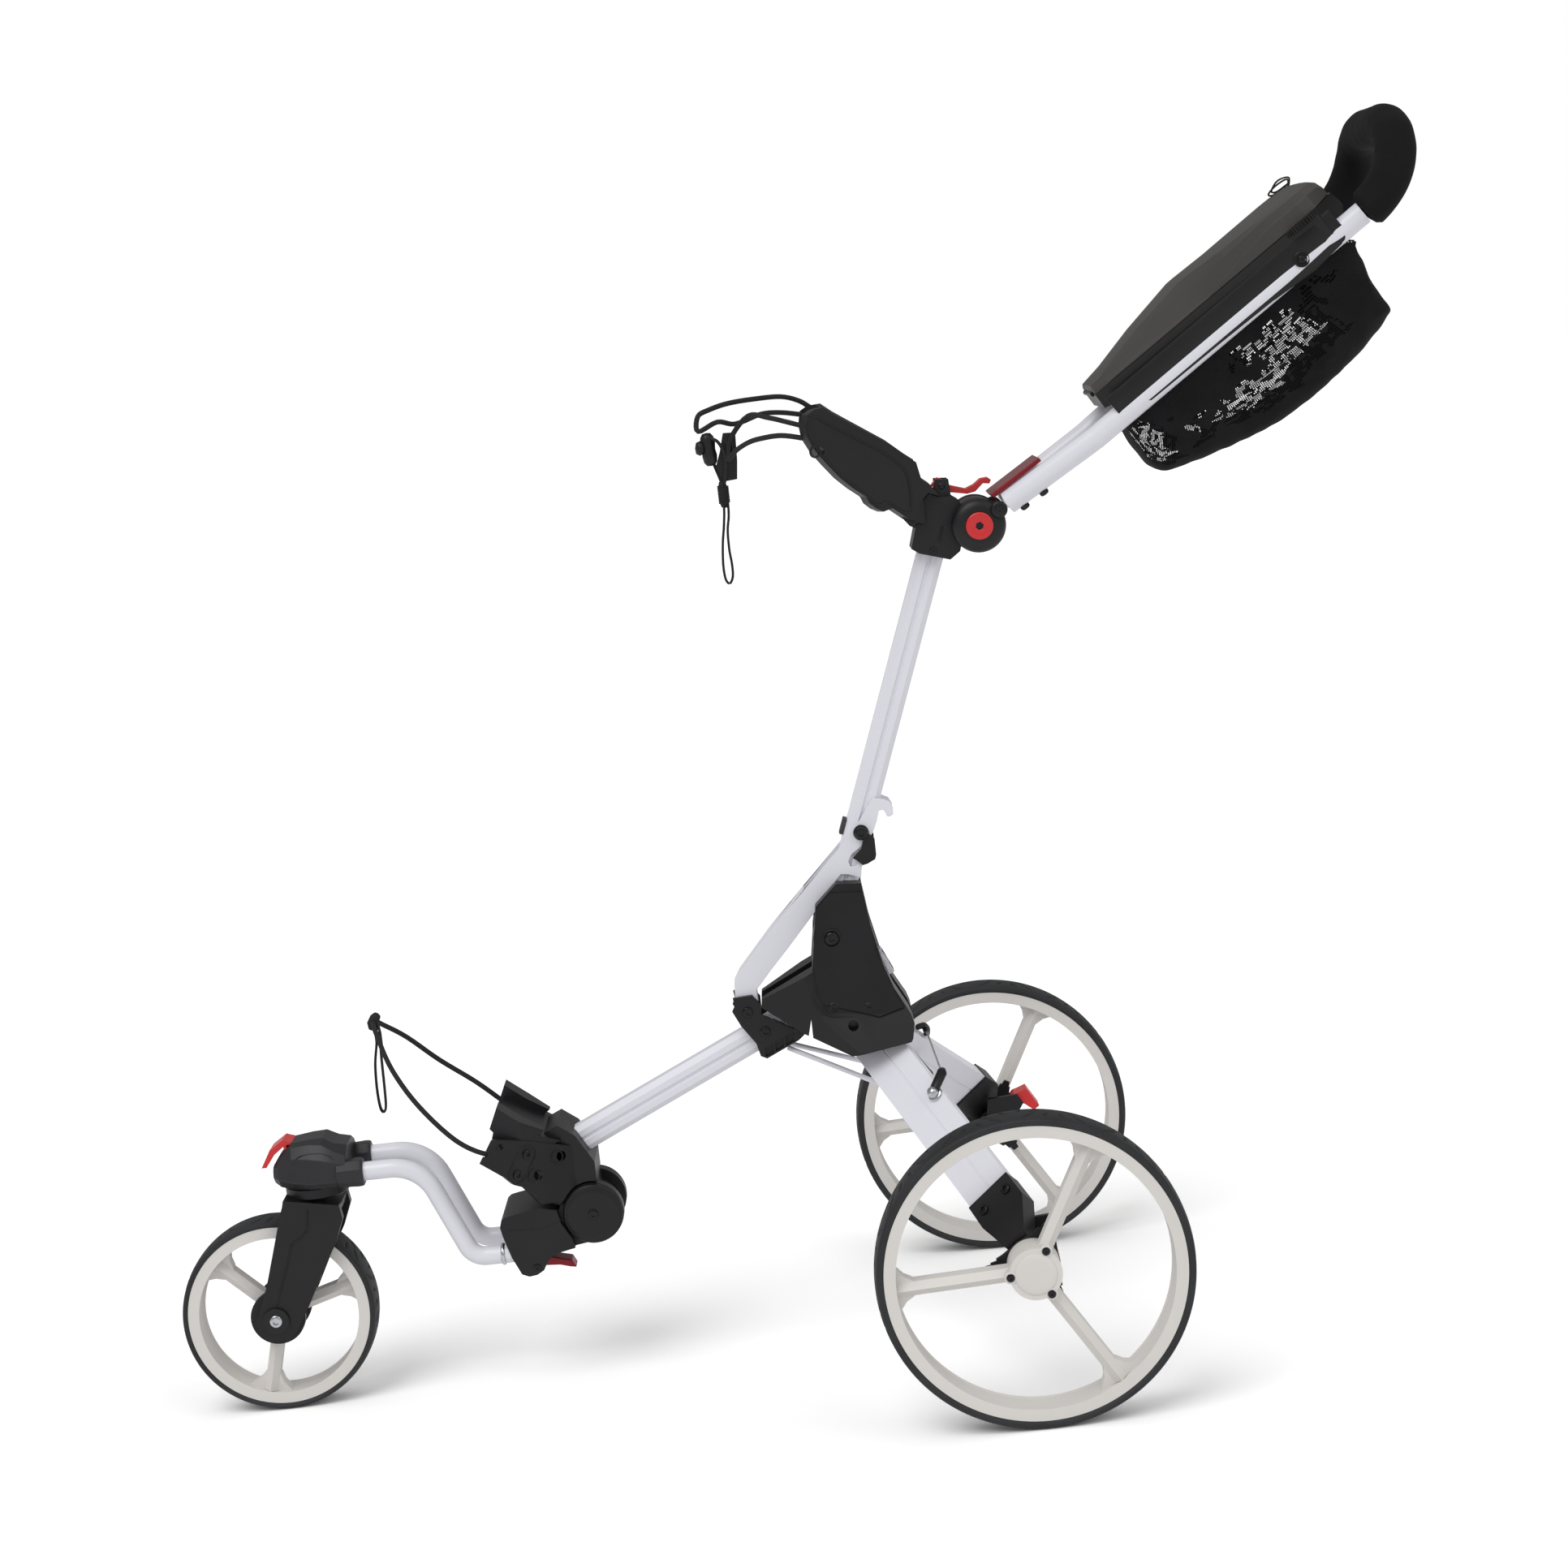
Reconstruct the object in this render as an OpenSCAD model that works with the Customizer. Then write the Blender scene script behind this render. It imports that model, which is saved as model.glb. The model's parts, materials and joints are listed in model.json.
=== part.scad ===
// Three-wheel folding golf push cart.
// +X points forward, +Y to the cart's left, +Z up; the floor is Z = 0.
// The origin is on the floor under the middle of the cart's length and width.
// Side-view points are written as [distance ahead of the rear axle, height].

/* [Wheels] */
// Diameter of the rear tyres
rear_tyre_d = 290; // [270:1:310]
// Thickness of the rear tyres outside their rims
rear_tyre_t = 8; // [6:0.5:12]
// Diameter of the front tyre
front_tyre_d = 193; // [183:1:203]
// Thickness of the front tyre outside its rim
front_tyre_t = 6.5; // [5:0.5:10]
// Width of every tyre
tyre_w = 40; // [36:1:46]
// Depth of the rim's ring, from seat to inner wall
rim_ring = 11; // [8:1:14]
// Width of a spoke in its middle
spoke_w = 13; // [9:1:18]
// Diameter of the rear hub
rear_hub_d = 48; // [38:1:52]
// Diameter of the front hub
front_hub_d = 36; // [30:1:42]
// Diameter of the rear axles
rear_axle_d = 12; // [10:0.5:14]
// Diameter of the front axle
front_axle_d = 8; // [6:0.5:10]

/* [Stance] */
// Distance from the rear axle to the front axle
wheelbase = 734; // [720:1:750]
// Distance between the middles of the rear wheels
track = 556; // [540:1:600]
// How far the grip reaches behind the rear axle
handle_reach = 456.5; // [440:0.5:470]

/* [Tubes] */
// Width of the mast and of the lower tube
tube_w = 24; // [22:1:26]
// Depth of the mast
mast_depth = 26; // [22:1:28]
// Depth of the lower tube
lower_depth = 27; // [24:1:28]
// Wall of the extruded tubes
tube_wall = 2; // [1.5:0.1:3]
// Width of the flat legs
leg_w = 46; // [40:1:48]
// Thickness of the flat legs
leg_t = 16; // [14:1:18]
// Diameter of the handle tubes
handle_d = 22; // [20:1:24]
// Diameter of the front yoke tubes
yoke_d = 18.5; // [16:0.5:20]
// Distance between the front yoke tubes
yoke_gap = 64; // [58:1:68]
// Diameter of the foam grip
grip_d = 38; // [32:1:42]
// Distance between the two sides of the grip
grip_w = 214; // [200:1:230]

/* [Joints] */
// Diameter of the big front hinge discs
front_disc_d = 60; // [54:1:64]
// Overall width of the front hinge
front_hinge_w = 78; // [74:1:84]
// Diameter of the discs of the handle joint
top_disc_d = 52; // [46:1:56]
// Overall width of the handle joint
top_joint_w = 92; // [88:1:98]
// Diameter of the hinge bolts
bolt_d = 10; // [8:0.5:12]
// Diameter of the small screw heads
screw_head_d = 10; // [8:0.5:12]
// Diameter of the shock cords
cord_d = 5; // [4:0.5:6]
// Diameter of the spreader rods
rod_d = 5; // [4:0.5:6]

/* [Clearances] */
// Radial play of a pin in its bore
running = 0.05; // [0.02:0.01:0.09]
// Gap beside a part that moves
side_gap = 0.3; // [0.3:0.1:0.6]

/* [Hidden] */
$fn = 48;

// Colours
white_paint = "#f2f2f6";
rim_white = "#e9e7e0";
black_plastic = "#1c1c1f";
dark_grey = "#3a3a3c";
foam_black = "#101011";
rubber_black = "#1f2022";
signal_red = "#cc1f26";
dark_red = "#8c1620";
steel = "#c9ccd0";

// Where the cart stands: the rear axle sits behind the middle of the overall length
rear_tyre_r = rear_tyre_d / 2;
front_tyre_r = front_tyre_d / 2;
rear_x = -(wheelbase + front_tyre_r - handle_reach) / 2;

// Pivots in the side view
mast_pivot = [149.7, 418.6];
mast_angle = 110.6;
strut_pivot_up = 104;
leg_hinge = [138, 334];
rear_axle_at = [0, rear_tyre_r];
leg_foot = rear_axle_at + [17, 39];
leg_foot_out = track / 2 - 53.5;
leg_cross = 17.8;
front_hinge = [411, 171];
top_joint = [-31.5, 799.4];
cam_pivot = [-1, 839];
swivel_x = wheelbase - 52;
head_z = 237;
front_axle_at = [wheelbase, front_tyre_r];
lower_start = [436, 230.3];
lower_angle = 155.4;
slide_angle = lower_angle - 180;
slide_pin = [239, 351];
rod_front = [204, 309.2];
cord_gap = 0.3;
rod_front_y = 10;
rod_rear_y = 56;

// Derived sizes
bolt_r = bolt_d / 2;
tube_half = tube_w / 2;
slot_half = tube_half + side_gap;
rear_rim_r = rear_tyre_r - rear_tyre_t;
front_rim_r = front_tyre_r - front_tyre_t;
wheel_half = tyre_w / 2;
rim_half = wheel_half - 2;
leg_dir = atan2(leg_foot[1] - leg_hinge[1], leg_foot[0] - leg_hinge[0]);
leg_foot_in_plane = norm(leg_foot - leg_hinge);
leg_splay = atan((leg_foot_out + leg_cross) / leg_foot_in_plane);
leg_len = leg_foot_in_plane / cos(leg_splay);
leg_start = 46;
front_disc_t = 6;
front_ear_t = 12;
front_ear_in = front_hinge_w / 2 - front_disc_t - front_ear_t;

// ---- Placing helpers -------------------------------------------------------

// Moves a shape from the rear axle's frame to the part's frame
module placed() translate([rear_x, 0, 0]) children();

// A side-view outline between two distances from the mid-plane
module side(pts, y0, y1)
  translate([0, y1, 0]) rotate([90, 0, 0]) linear_extrude(y1 - y0) polygon(pts);

// A round bar across the cart at a side-view point
module bar(at, r, y0, y1)
  translate([at[0], y1, at[1]]) rotate([90, 0, 0]) cylinder(r = r, h = y1 - y0);

// The same on the left and on the right
module both() {
  children();
  mirror([0, 1, 0]) children();
}

// Local frame at a side-view point: Z runs along the angle, X in front of it
module along(at, angle) translate([at[0], 0, at[1]]) rotate([0, 90 - angle, 0]) children();

// A round bar between two points
module strut3(a, b, r) {
  v = b - a;
  translate(a) rotate([0, acos(v[2] / norm(v)), atan2(v[1], v[0])]) cylinder(r = r, h = norm(v));
}

// A plate that flares away from the mid-plane ahead of x0; its outline is given in the side view
module flared(x0, y0, angle, pts, t)
  translate([x0, y0, 0]) rotate([0, 0, angle])
    side([for (p = pts) [(p[0] - x0) / cos(angle), p[1]]], 0, t);

// Same place on the flared plate, for holes and screws
module on_flare(x0, y0, angle, at)
  translate([x0, y0, 0]) rotate([0, 0, angle]) translate([(at[0] - x0) / cos(angle), 0, at[1]]) children();

// Left leg's frame: X down the leg, Z across its width, Y through its thickness
module leg_frame()
  translate([leg_hinge[0], -leg_cross, leg_hinge[1]]) rotate([0, -leg_dir, 0]) rotate([0, 0, leg_splay])
    children();

module block(x0, x1, y0, y1, z0, z1) translate([x0, y0, z0]) cube([x1 - x0, y1 - y0, z1 - z0]);

// A point of the left leg's frame, in the part's frame
function on_leg(p) =
  let (r = p[0] * cos(leg_splay) - p[1] * sin(leg_splay), out = p[0] * sin(leg_splay) + p[1] * cos(leg_splay))
  [leg_hinge[0] + r * cos(leg_dir) - p[2] * sin(leg_dir), out - leg_cross,
    leg_hinge[1] + r * sin(leg_dir) + p[2] * cos(leg_dir)];

// Outlines given from a point of the side view, or from the swivel's axis
function from(at, pts) = [for (p = pts) at + p];
function ahead_of_swivel(pts) = [for (p = pts) [swivel_x + p[0], p[1]]];

// A point at a distance and an angle from another, in the side view
function polar(at, r, angle) = at + r * [cos(angle), sin(angle)];

// ---- Swept cords -----------------------------------------------------------

function unit(v) = v / norm(v);
function path_dir(p, i) =
  unit(p[min(i + 1, len(p) - 1)] - p[max(i - 1, 0)]);
function ring(p, d, side_dir, r, n) =
  let (u = unit(side_dir - (side_dir * d) * d), w = cross(d, u))
  [for (k = [0:n - 1]) p + r * (cos(360 * k / n) * u + sin(360 * k / n) * w)];

// A round cord through a list of points; across is any direction that the cord never runs along
module swept(path, r, n, across) {
  m = len(path);
  points = [for (i = [0:m - 1]) each ring(path[i], path_dir(path, i), across, r, n)];
  sides = [for (i = [0:m - 2], k = [0:n - 1])
    [i * n + k, i * n + (k + 1) % n, (i + 1) * n + (k + 1) % n, (i + 1) * n + k]];
  start = [for (k = [n - 1:-1:0]) k];
  finish = [for (k = [0:n - 1]) (m - 1) * n + k];
  polyhedron(points = points, faces = concat([start, finish], sides));
}

// Holes for the two ends of a cord
module cord_hole(a, b) strut3(a - 3 * unit(b - a), b + 4 * unit(b - a), cord_d / 2 + cord_gap);
module cord_holes(p) {
  cord_hole(p[0], p[1]);
  cord_hole(p[len(p) - 1], p[len(p) - 2]);
}

// ---- Wheels ----------------------------------------------------------------

// Wheel frame: the axle runs along +Y through the wheel's middle
module wheel_at(at, y) translate([at[0], y, at[1]]) rotate([-90, 0, 0]) children();

module tyre_ring(seat_r, r) {
  shoulder = r - seat_r;
  rotate_extrude($fn = 96)
    polygon([
      [seat_r, -rim_half + 0.5], [seat_r, rim_half - 0.5], [r - shoulder * 0.6, wheel_half],
      [r - shoulder * 0.25, wheel_half - 1.5], [r - 0.8, wheel_half - 5], [r, wheel_half - 10],
      [r, -wheel_half + 10], [r - 0.8, -wheel_half + 5], [r - shoulder * 0.25, -wheel_half + 1.5],
      [r - shoulder * 0.6, -wheel_half]
    ]);
}

// A spoke: a bar with a ridge along each face, widened where it meets the rim
module spoke(hub_r, ring_r) {
  half = spoke_w / 2;
  translate([hub_r - 4, 0, 0]) rotate([90, 0, 90]) linear_extrude(ring_r - hub_r + 6)
    polygon([[-half, -7], [0, -13], [half, -7], [half, 7], [0, 13], [-half, 7]]);
  translate([0, 0, -7]) linear_extrude(14)
    polygon([
      [ring_r + 2, -half - 17], [ring_r - 3, -half - 11], [ring_r - 8, -half - 5], [ring_r - 15, -half - 1],
      [ring_r - 22, 0], [ring_r - 15, half + 1], [ring_r - 8, half + 5], [ring_r - 3, half + 11],
      [ring_r + 2, half + 17]
    ]);
}

module spoked_rim(rim_r, hub_d, hub_half, bore_d, phase) {
  hub_r = hub_d / 2;
  inner_r = rim_r - rim_ring;
  difference() {
    union() {
      rotate_extrude($fn = 96)
        polygon([
          [rim_r, -rim_half], [rim_r, rim_half], [inner_r, rim_half], [inner_r + 2.5, rim_half - 5],
          [inner_r + 2.5, -rim_half + 5], [inner_r, -rim_half]
        ]);
      for (k = [0:2]) rotate([0, 0, -phase - 120 * k]) spoke(hub_r, inner_r);
      translate([0, 0, -hub_half]) cylinder(r = hub_r, h = 2 * hub_half);
    }
    translate([0, 0, -hub_half - 1]) cylinder(d = bore_d + 2 * running, h = 2 * hub_half + 2);
  }
}

hub_half = 17;
hub_bolt_ring_r = rear_hub_d / 2 - 1;
hub_bolt_r = 3.5;

module hub_bolts_at(sign)
  for (k = [0:2]) rotate([0, 0, -sign * (120 * k - 2)]) translate([hub_bolt_ring_r, 0, 0]) children();

module rear_rim(sign)
  color(rim_white) placed() {
    wheel_at(rear_axle_at, sign * track / 2) spoked_rim(rear_rim_r, rear_hub_d, hub_half, rear_axle_d, -2);
    translate([0, sign * track / 2, rear_tyre_r]) rotate([-90 * sign, 0, 0])
      hub_bolts_at(sign) cylinder(r = hub_bolt_r + 2.5, h = hub_half - 1);
  }

// Cover over the hub's bore, and the three bolts round it
module hub_cover(sign)
  color(rim_white) placed() translate([0, sign * track / 2, rear_tyre_r]) rotate([-90 * sign, 0, 0]) {
    translate([0, 0, hub_half]) cylinder(r = hub_bolt_ring_r - hub_bolt_r - 0.5, h = 1.6);
    hub_bolts_at(sign) translate([0, 0, hub_half]) cylinder(r = hub_bolt_r, h = 1.2);
  }

module rear_tyre(sign)
  color(rubber_black) placed() wheel_at(rear_axle_at, sign * track / 2) tyre_ring(rear_rim_r, rear_tyre_r);

module rear_tyre_left() rear_tyre(1);
module rear_rim_left() rear_rim(1);
module hub_cover_left() hub_cover(1);
module rear_tyre_right() rear_tyre(-1);
module rear_rim_right() rear_rim(-1);
module hub_cover_right() hub_cover(-1);

module front_tyre()
  color(rubber_black) placed() wheel_at(front_axle_at, 0) tyre_ring(front_rim_r, front_tyre_r);

front_hub_half = 17;

module front_rim()
  color(rim_white) placed() wheel_at(front_axle_at, 0) {
    spoked_rim(front_rim_r, front_hub_d, front_hub_half, front_axle_d, 44);
  }

// ---- Frame -----------------------------------------------------------------

// Cross-section of the extruded tubes: rounded lobes with a groove along each flat side
module tube_section(depth, w) {
  h = depth / 2;
  g = 2.2;
  c = w * 0.22;
  polygon([
    [-h, -w / 2 + c], [-h + c, -w / 2], [-g, -w / 2], [-g * 0.6, -w / 2 + 1.6], [g * 0.6, -w / 2 + 1.6],
    [g, -w / 2], [h - c, -w / 2], [h, -w / 2 + c], [h, w / 2 - c], [h - c, w / 2], [g, w / 2],
    [g * 0.6, w / 2 - 1.6], [-g * 0.6, w / 2 - 1.6], [-g, w / 2], [-h + c, w / 2], [-h, w / 2 - c]
  ]);
}

module extruded_tube(depth, len)
  linear_extrude(len) difference() {
    tube_section(depth, tube_w);
    for (s = [-1, 1]) translate([s * (depth / 4 + 0.2), 0])
      square([depth / 2 - 2 * tube_wall - 0.4, tube_w - 2 * tube_wall - 3], center = true);
  }

lower_len = 372;

module lower_tube()
  color(white_paint) placed() along(lower_start, lower_angle) extruded_tube(lower_depth, lower_len);

housing_side = [
  [225, 355], [224, 363], [172, 388], [168, 413], [162, 450], [140, 470], [116, 468], [111, 427],
  [103, 388], [95, 365], [82, 340], [79, 330], [82, 317], [84, 314], [142, 306], [188, 329]
];
housing_plan = [[60, 0], [60, 66], [135, 66], [178, 44], [226, 24], [226, 0]];
housing_front = [[0, 300], [66, 300], [66, 309], [48, 345], [42, 385], [30, 472], [0, 472]];
housing_raised = [
  [170, 391], [167, 422], [161.5, 447.5], [147, 462], [116, 460], [112.5, 436], [108, 400], [98, 370], [88, 346],
  [112, 340], [164, 357], [168.5, 368]
];
housing_y = 37.5;

// One side of the housing's body between its side, plan and front outlines, grown outwards
module housing_block(outline, grow)
  intersection() {
    side(outline, tube_half, 75);
    translate([0, grow, 280]) linear_extrude(220) polygon([for (p = housing_plan) [p[0], p[1] > 0 ? p[1] : -grow]]);
    translate([40, grow, 0]) rotate([90, 0, 90]) linear_extrude(220) polygon([for (p = housing_front) [p[0] > 0 ? p[0] : -grow, p[1]]]);
  }
leg_screw_gap = 34;

// Left shell of the centre housing: the mast swings and the legs fold between the two shells
module housing_shell()
  difference() {
    union() {
      housing_block(housing_side, 0);
      housing_block(housing_raised, 2.2);
    }
    // Room for the swinging mast
    side([[60, 500], [260, 500], [260, 405], [200, 397], [150, 397], [120, 430], [60, 470]], 0, slot_half);
    // Room for the folding legs
    bar(leg_hinge, 40, tube_half - 1, 36);
    side([[92, 350], [90, 290], [200, 290], [182, 326], [176, 350]], tube_half - 1, 44);
    leg_frame() block(30, 130, -leg_t / 2 - 0.8, leg_t / 2 + 0.8, -leg_w / 2 - 0.8, leg_w / 2 + 0.8);
    // Room for the strut's plates at rest
    side([[126, 484], [134, 467], [144, 453], [158, 438], [176, 419], [200, 419], [200, 500], [126, 500]], 0, strut_half + side_gap);
    bar(mast_pivot, bolt_r, 0, 70);
    bar(mast_pivot, 8, housing_y, 70);
    bar(leg_hinge, bolt_r, 0, 70);
    for (s = [-1, 1]) bar(leg_hinge + [s * leg_screw_gap / 2, 17], 2.5, 30, 70);
  }

module housing_left() color(black_plastic) placed() housing_shell();
module housing_right() color(black_plastic) placed() mirror([0, 1, 0]) housing_shell();

// Screws that clamp the two shells, and those of the lower bag bracket
module frame_screws()
  color(steel) placed() both() {
    for (s = [-1, 1]) bar(leg_hinge + [s * leg_screw_gap / 2, 17], 2.5, 40, 47);
    for (at = [[466, 243], [477, 225]]) on_flare(lower_flare_x, lower_flare_y, lower_flare, at)
      bar([0, 0], screw_head_d / 2, lower_arm_t, lower_arm_t + 2);
  }

module mast_pivot_bolt()
  color(steel) placed() {
    bar(mast_pivot, bolt_r, -housing_y, housing_y);
    both() bar(mast_pivot, 7, housing_y, housing_y + 3);
  }

module leg_hinge_pin() color(steel) placed() bar(leg_hinge, bolt_r, -44, 44);

// Lower bag bracket: a clamp round the lower tube, two flared arms and the hinge's knuckle
lower_flare_x = 428;
lower_flare_y = 26;
lower_flare = 30;
lower_arm_t = 8;
lower_arm = [
  [498, 263], [511, 243], [492, 225], [485, 216], [476, 211], [462, 190], [428, 188], [428, 240], [448, 248],
  [469, 256], [495, 264]
];
lower_clamp = [
  [436, 262], [470, 247], [484, 236], [476, 222], [466, 202], [461, 189], [440, 181], [404, 196], [404, 222],
  [420, 250]
];

module lower_bag_bracket()
  color(black_plastic) placed() difference() {
    union() {
      side(lower_clamp, -front_ear_in - front_ear_t, front_ear_in + front_ear_t);
      bar(front_hinge, 22, -front_ear_in + side_gap, front_ear_in - side_gap);
      side([[404, 200], [400, 180], [430, 170], [446, 190]], -front_ear_in + side_gap, front_ear_in - side_gap);
      both() flared(lower_flare_x, lower_flare_y, lower_flare, lower_arm, lower_arm_t);
      // Cradle floor between the arms, stepped down towards the middle
      intersection() {
        union() {
          side([[434, 248], [462, 262], [492, 280], [498, 262], [470, 238]], -58, 58);
          both() side([[448, 262], [470, 276], [490, 292], [499, 272], [476, 244]], 34, 58);
        }
        translate([lower_flare_x - 8, 0, 150]) linear_extrude(200)
          polygon([[0, 34], [8, 34], [80, 34 + 72 * tan(lower_flare)], [80, -34 - 72 * tan(lower_flare)], [8, -34], [0, -34]]);
      }
    }
    along(lower_start, lower_angle) block(-lower_depth / 2, lower_depth / 2, -tube_half, tube_half, 0, 80);
    // Round the ears of the folding link
    both() bar(front_hinge, front_disc_d / 2 + 2, front_ear_in - side_gap, 50);
    both() side([[411, 202.5], [440, 184.5], [446, 180.5], [449, 178], [449, 160], [411, 160]], front_ear_in - side_gap, 50);
    bar(front_hinge, bolt_r, -40, 40);
    both() for (at = [[439, 233], [462, 220]]) on_flare(lower_flare_x, lower_flare_y, lower_flare, at)
      bar([0, 0], 5, -20, 20);
    cord_holes(lower_cord_path);
  }

module front_hinge_bolt()
  color(steel) placed() {
    bar(front_hinge, bolt_r, -front_hinge_w / 2, front_hinge_w / 2);
    both() bar(front_hinge, 5.5, front_hinge_w / 2, front_hinge_w / 2 + 1.5);
  }

lower_cord_path = [
  [490, 70, 256], [503, 71, 251], [531, 72, 268], [563, 66, 304], [586, 50, 338], [600, 24, 366],
  [606, 0, 378], [600, -24, 368], [582, -48, 348], [555, -64, 318], [522, -70, 290], [496, -70, 266]
];

module lower_shock_cord() color(foam_black) placed() swept(lower_cord_path, cord_d / 2, 8, [1, 0, 0.4]);

module lower_pull_strap()
  color(foam_black) placed() side([[603, 372], [609, 372], [609, 285], [603, 285]], -6, 6);

// ---- Slider and strut ------------------------------------------------------

strut_half = slot_half + 2.6;
slider_in = strut_half + side_gap;
slider_out = slider_in + 5;
slider_side = [[252, 366], [251, 358], [254, 353], [247, 338], [234, 319], [231, 306], [225, 303], [192, 318], [186, 323], [226, 347], [226, 358], [233, 367]];

module slider_bracket()
  color(black_plastic) placed() difference() {
    side(slider_side, -slider_out, slider_out);
    along(lower_start, lower_angle)
      block(-lower_depth / 2 - side_gap, lower_depth / 2 + side_gap, -tube_half - side_gap, tube_half + side_gap, 0, 400);
    // Slot for the strut's lower end
    side([[200, 390], [260, 390], [262, 338], [246, 332], [216, 340]], -slider_in, slider_in);
    // Open cells along the lower edge
    both() for (k = [0:2])
      side([for (p = [[-4.2, -5], [4.2, -5], [4.2, 4], [-4.2, 4]]) [222 - 10.5 * k + p[0], 311.5 + 4.6 * k + p[1] + p[0] * -0.44]],
        slider_out - 3, slider_out + 1);
  }

module slider_screws()
  color(steel) placed() both() for (at = [slide_pin, [224, 330]]) bar(at, screw_head_d / 2, slider_out, slider_out + 2);

strut_up = polar(mast_pivot, strut_pivot_up, mast_angle + 1.6);
strut_side = [
  [96, 547], [86, 545], [80, 542], [77, 536], [77.5, 529], [81, 527], [84, 528], [85, 532], [87, 534.5], [91, 534],
  [94, 524], [99, 513], [112, 501], [117, 497.5], [122, 494], [125.5, 488], [124, 482.5], [119, 482.5], [116, 486],
  [113, 482], [115, 470], [127, 475], [134, 476], [140, 470], [148, 458], [162, 443], [192, 410], [212, 389],
  [228, 371], [228, 352], [233, 343], [243, 341], [249, 348], [250, 360], [249, 379], [243, 389], [208, 428],
  [135, 500], [115, 521], [101, 540]
];
strut_wall = 2.6;

// Strut between mast and slider: two side plates joined by a web along their front edge
module strut_channel()
  color(white_paint) placed() difference() {
    union() {
      both() side(strut_side, slot_half, slot_half + strut_wall);
      side([[172, 463.5], [170.2, 461.7], [241.2, 387.2], [246.8, 378.4], [249, 379], [243, 389]], -slot_half - 0.5, slot_half + 0.5);
    }
    bar(strut_up, 3 + running, -30, 30);
  }

module strut_pivot_pin() color(steel) placed() {
  bar(strut_up, 3, -strut_half - 4, strut_half + 4);
  both() {
    bar(strut_up, 4, strut_half + 0.1, strut_half + 4);
    bar(strut_up, 6, strut_half + 3.8, strut_half + 5.5);
  }
}

// ---- Mast ------------------------------------------------------------------

mast_start = 16;
mast_len = 376;

module mast_tube()
  color(white_paint) placed() difference() {
    along(mast_pivot, mast_angle) translate([0, 0, mast_start]) extruded_tube(mast_depth, mast_len);
    bar(strut_up, 3, -30, 30);
  }

module mast_foot()
  color(black_plastic) placed() difference() {
    along(mast_pivot, mast_angle) {
      rotate([90, 0, 0]) cylinder(r = 12.5, h = tube_w, center = true);
      block(-12, 12, -tube_half, tube_half, 0, mast_start);
    }
    bar(mast_pivot, bolt_r + running, -30, 30);
  }

module mast_clip()
  color(dark_grey) placed() along(mast_pivot, mast_angle)
    block(mast_depth / 2, mast_depth / 2 + 4, -8, 8, 96, 112);

head_half = 24;
mast_head_side = [
  [27, 778], [34, 783], [28, 803], [22, 824], [12, 834], [3, 829], [-9, 829], [-16, 824], [-20, 800], [-12, 776], [-2, 769]
];

// Ears that carry the cam lever
module head_ears() both() side([[7, 828], [-9, 828], [-8, 845], [5, 846]], 9, 16);

// Top joint body: clamps the mast's top and carries the handle's axle and the cam lever
module mast_head()
  color(black_plastic) placed() difference() {
    union() {
      side(mast_head_side, -head_half, head_half);
      bar(top_joint, top_disc_d / 2 - 1, -head_half, head_half);
      head_ears();
    }
    along(mast_pivot, mast_angle) block(-mast_depth / 2, mast_depth / 2, -tube_half, tube_half, mast_start, mast_start + mast_len);
    bar(top_joint, bolt_r + running, -60, 60);
    bar(cam_pivot, 3, -20, 20);
  }

upper_flare_x = 24;
upper_flare_y = 20;
upper_flare = 28;
upper_arm_t = 12;
upper_arm = [
  [125, 922], [118, 926], [110, 927], [99, 918], [52, 886], [36, 872], [27, 865], [24, 850], [24, 805], [40, 813],
  [54, 825], [63, 823], [70, 827], [76, 833], [78, 839], [90, 849], [101, 860], [111, 873], [121, 887], [127, 899],
  [128, 909]
];

module upper_bag_bracket()
  color(black_plastic) placed() difference() {
    union() {
      both() flared(upper_flare_x, upper_flare_y, upper_flare, upper_arm, upper_arm_t);
      side([[36, 870], [20, 850], [10, 842], [3, 831], [13, 835], [23, 825], [29, 803], [34, 806], [40, 814]], -34, 34);
    }
    side(mast_head_side, -head_half, head_half);
    head_ears();
    bar(cam_pivot, 10.6, -9.2, 9.2);
    cord_holes(upper_cord_near_path);
    cord_holes(upper_cord_far_path);
    both() on_flare(upper_flare_x, upper_flare_y, upper_flare, [116, 887]) bar([0, 0], 4, -20, 20);
  }

module top_joint_bolt()
  color(steel) placed() bar(top_joint, bolt_r, -lug_out, lug_out);

module cam_lever()
  color(signal_red) placed() difference() {
    union() {
      bar(cam_pivot, 6, -8.7, 8.7);
      side([[8.5, 840], [2, 847], [-3, 844], [-7, 839], [-24, 833.5], [-32, 836.5], [-39, 841.5], [-46, 842], [-49, 839.5], [-47, 836], [-41, 837], [-33, 830], [-25, 828.6], [-8, 832], [2, 833]], -8.7, 8.7);
    }
    bar(cam_pivot, 3 + running, -20, 20);
  }

catch_side = [
  [108, 511], [103, 513], [98, 508], [98, 499], [98, 492], [99.5, 487.5], [103, 486], [107, 484], [112, 483], [117, 488],
  [121, 491], [112, 499]
];
catch_pin = polar(strut_up, 26, 249.6);

// Catch behind the mast: cheeks outside the strut, and the pin that the strut's hook takes when folded
module mast_catch()
  color(black_plastic) placed() difference() {
    union() {
      both() {
        bar(strut_up, 7.5, strut_half + side_gap, strut_half + 2.9);
        side(catch_side, strut_half + side_gap, strut_half + 2.9);
      }
      bar(catch_pin, 2, -strut_half - 1, strut_half + 1);
    }
    bar(strut_up, 4 + running, -30, 30);
  }

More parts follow.
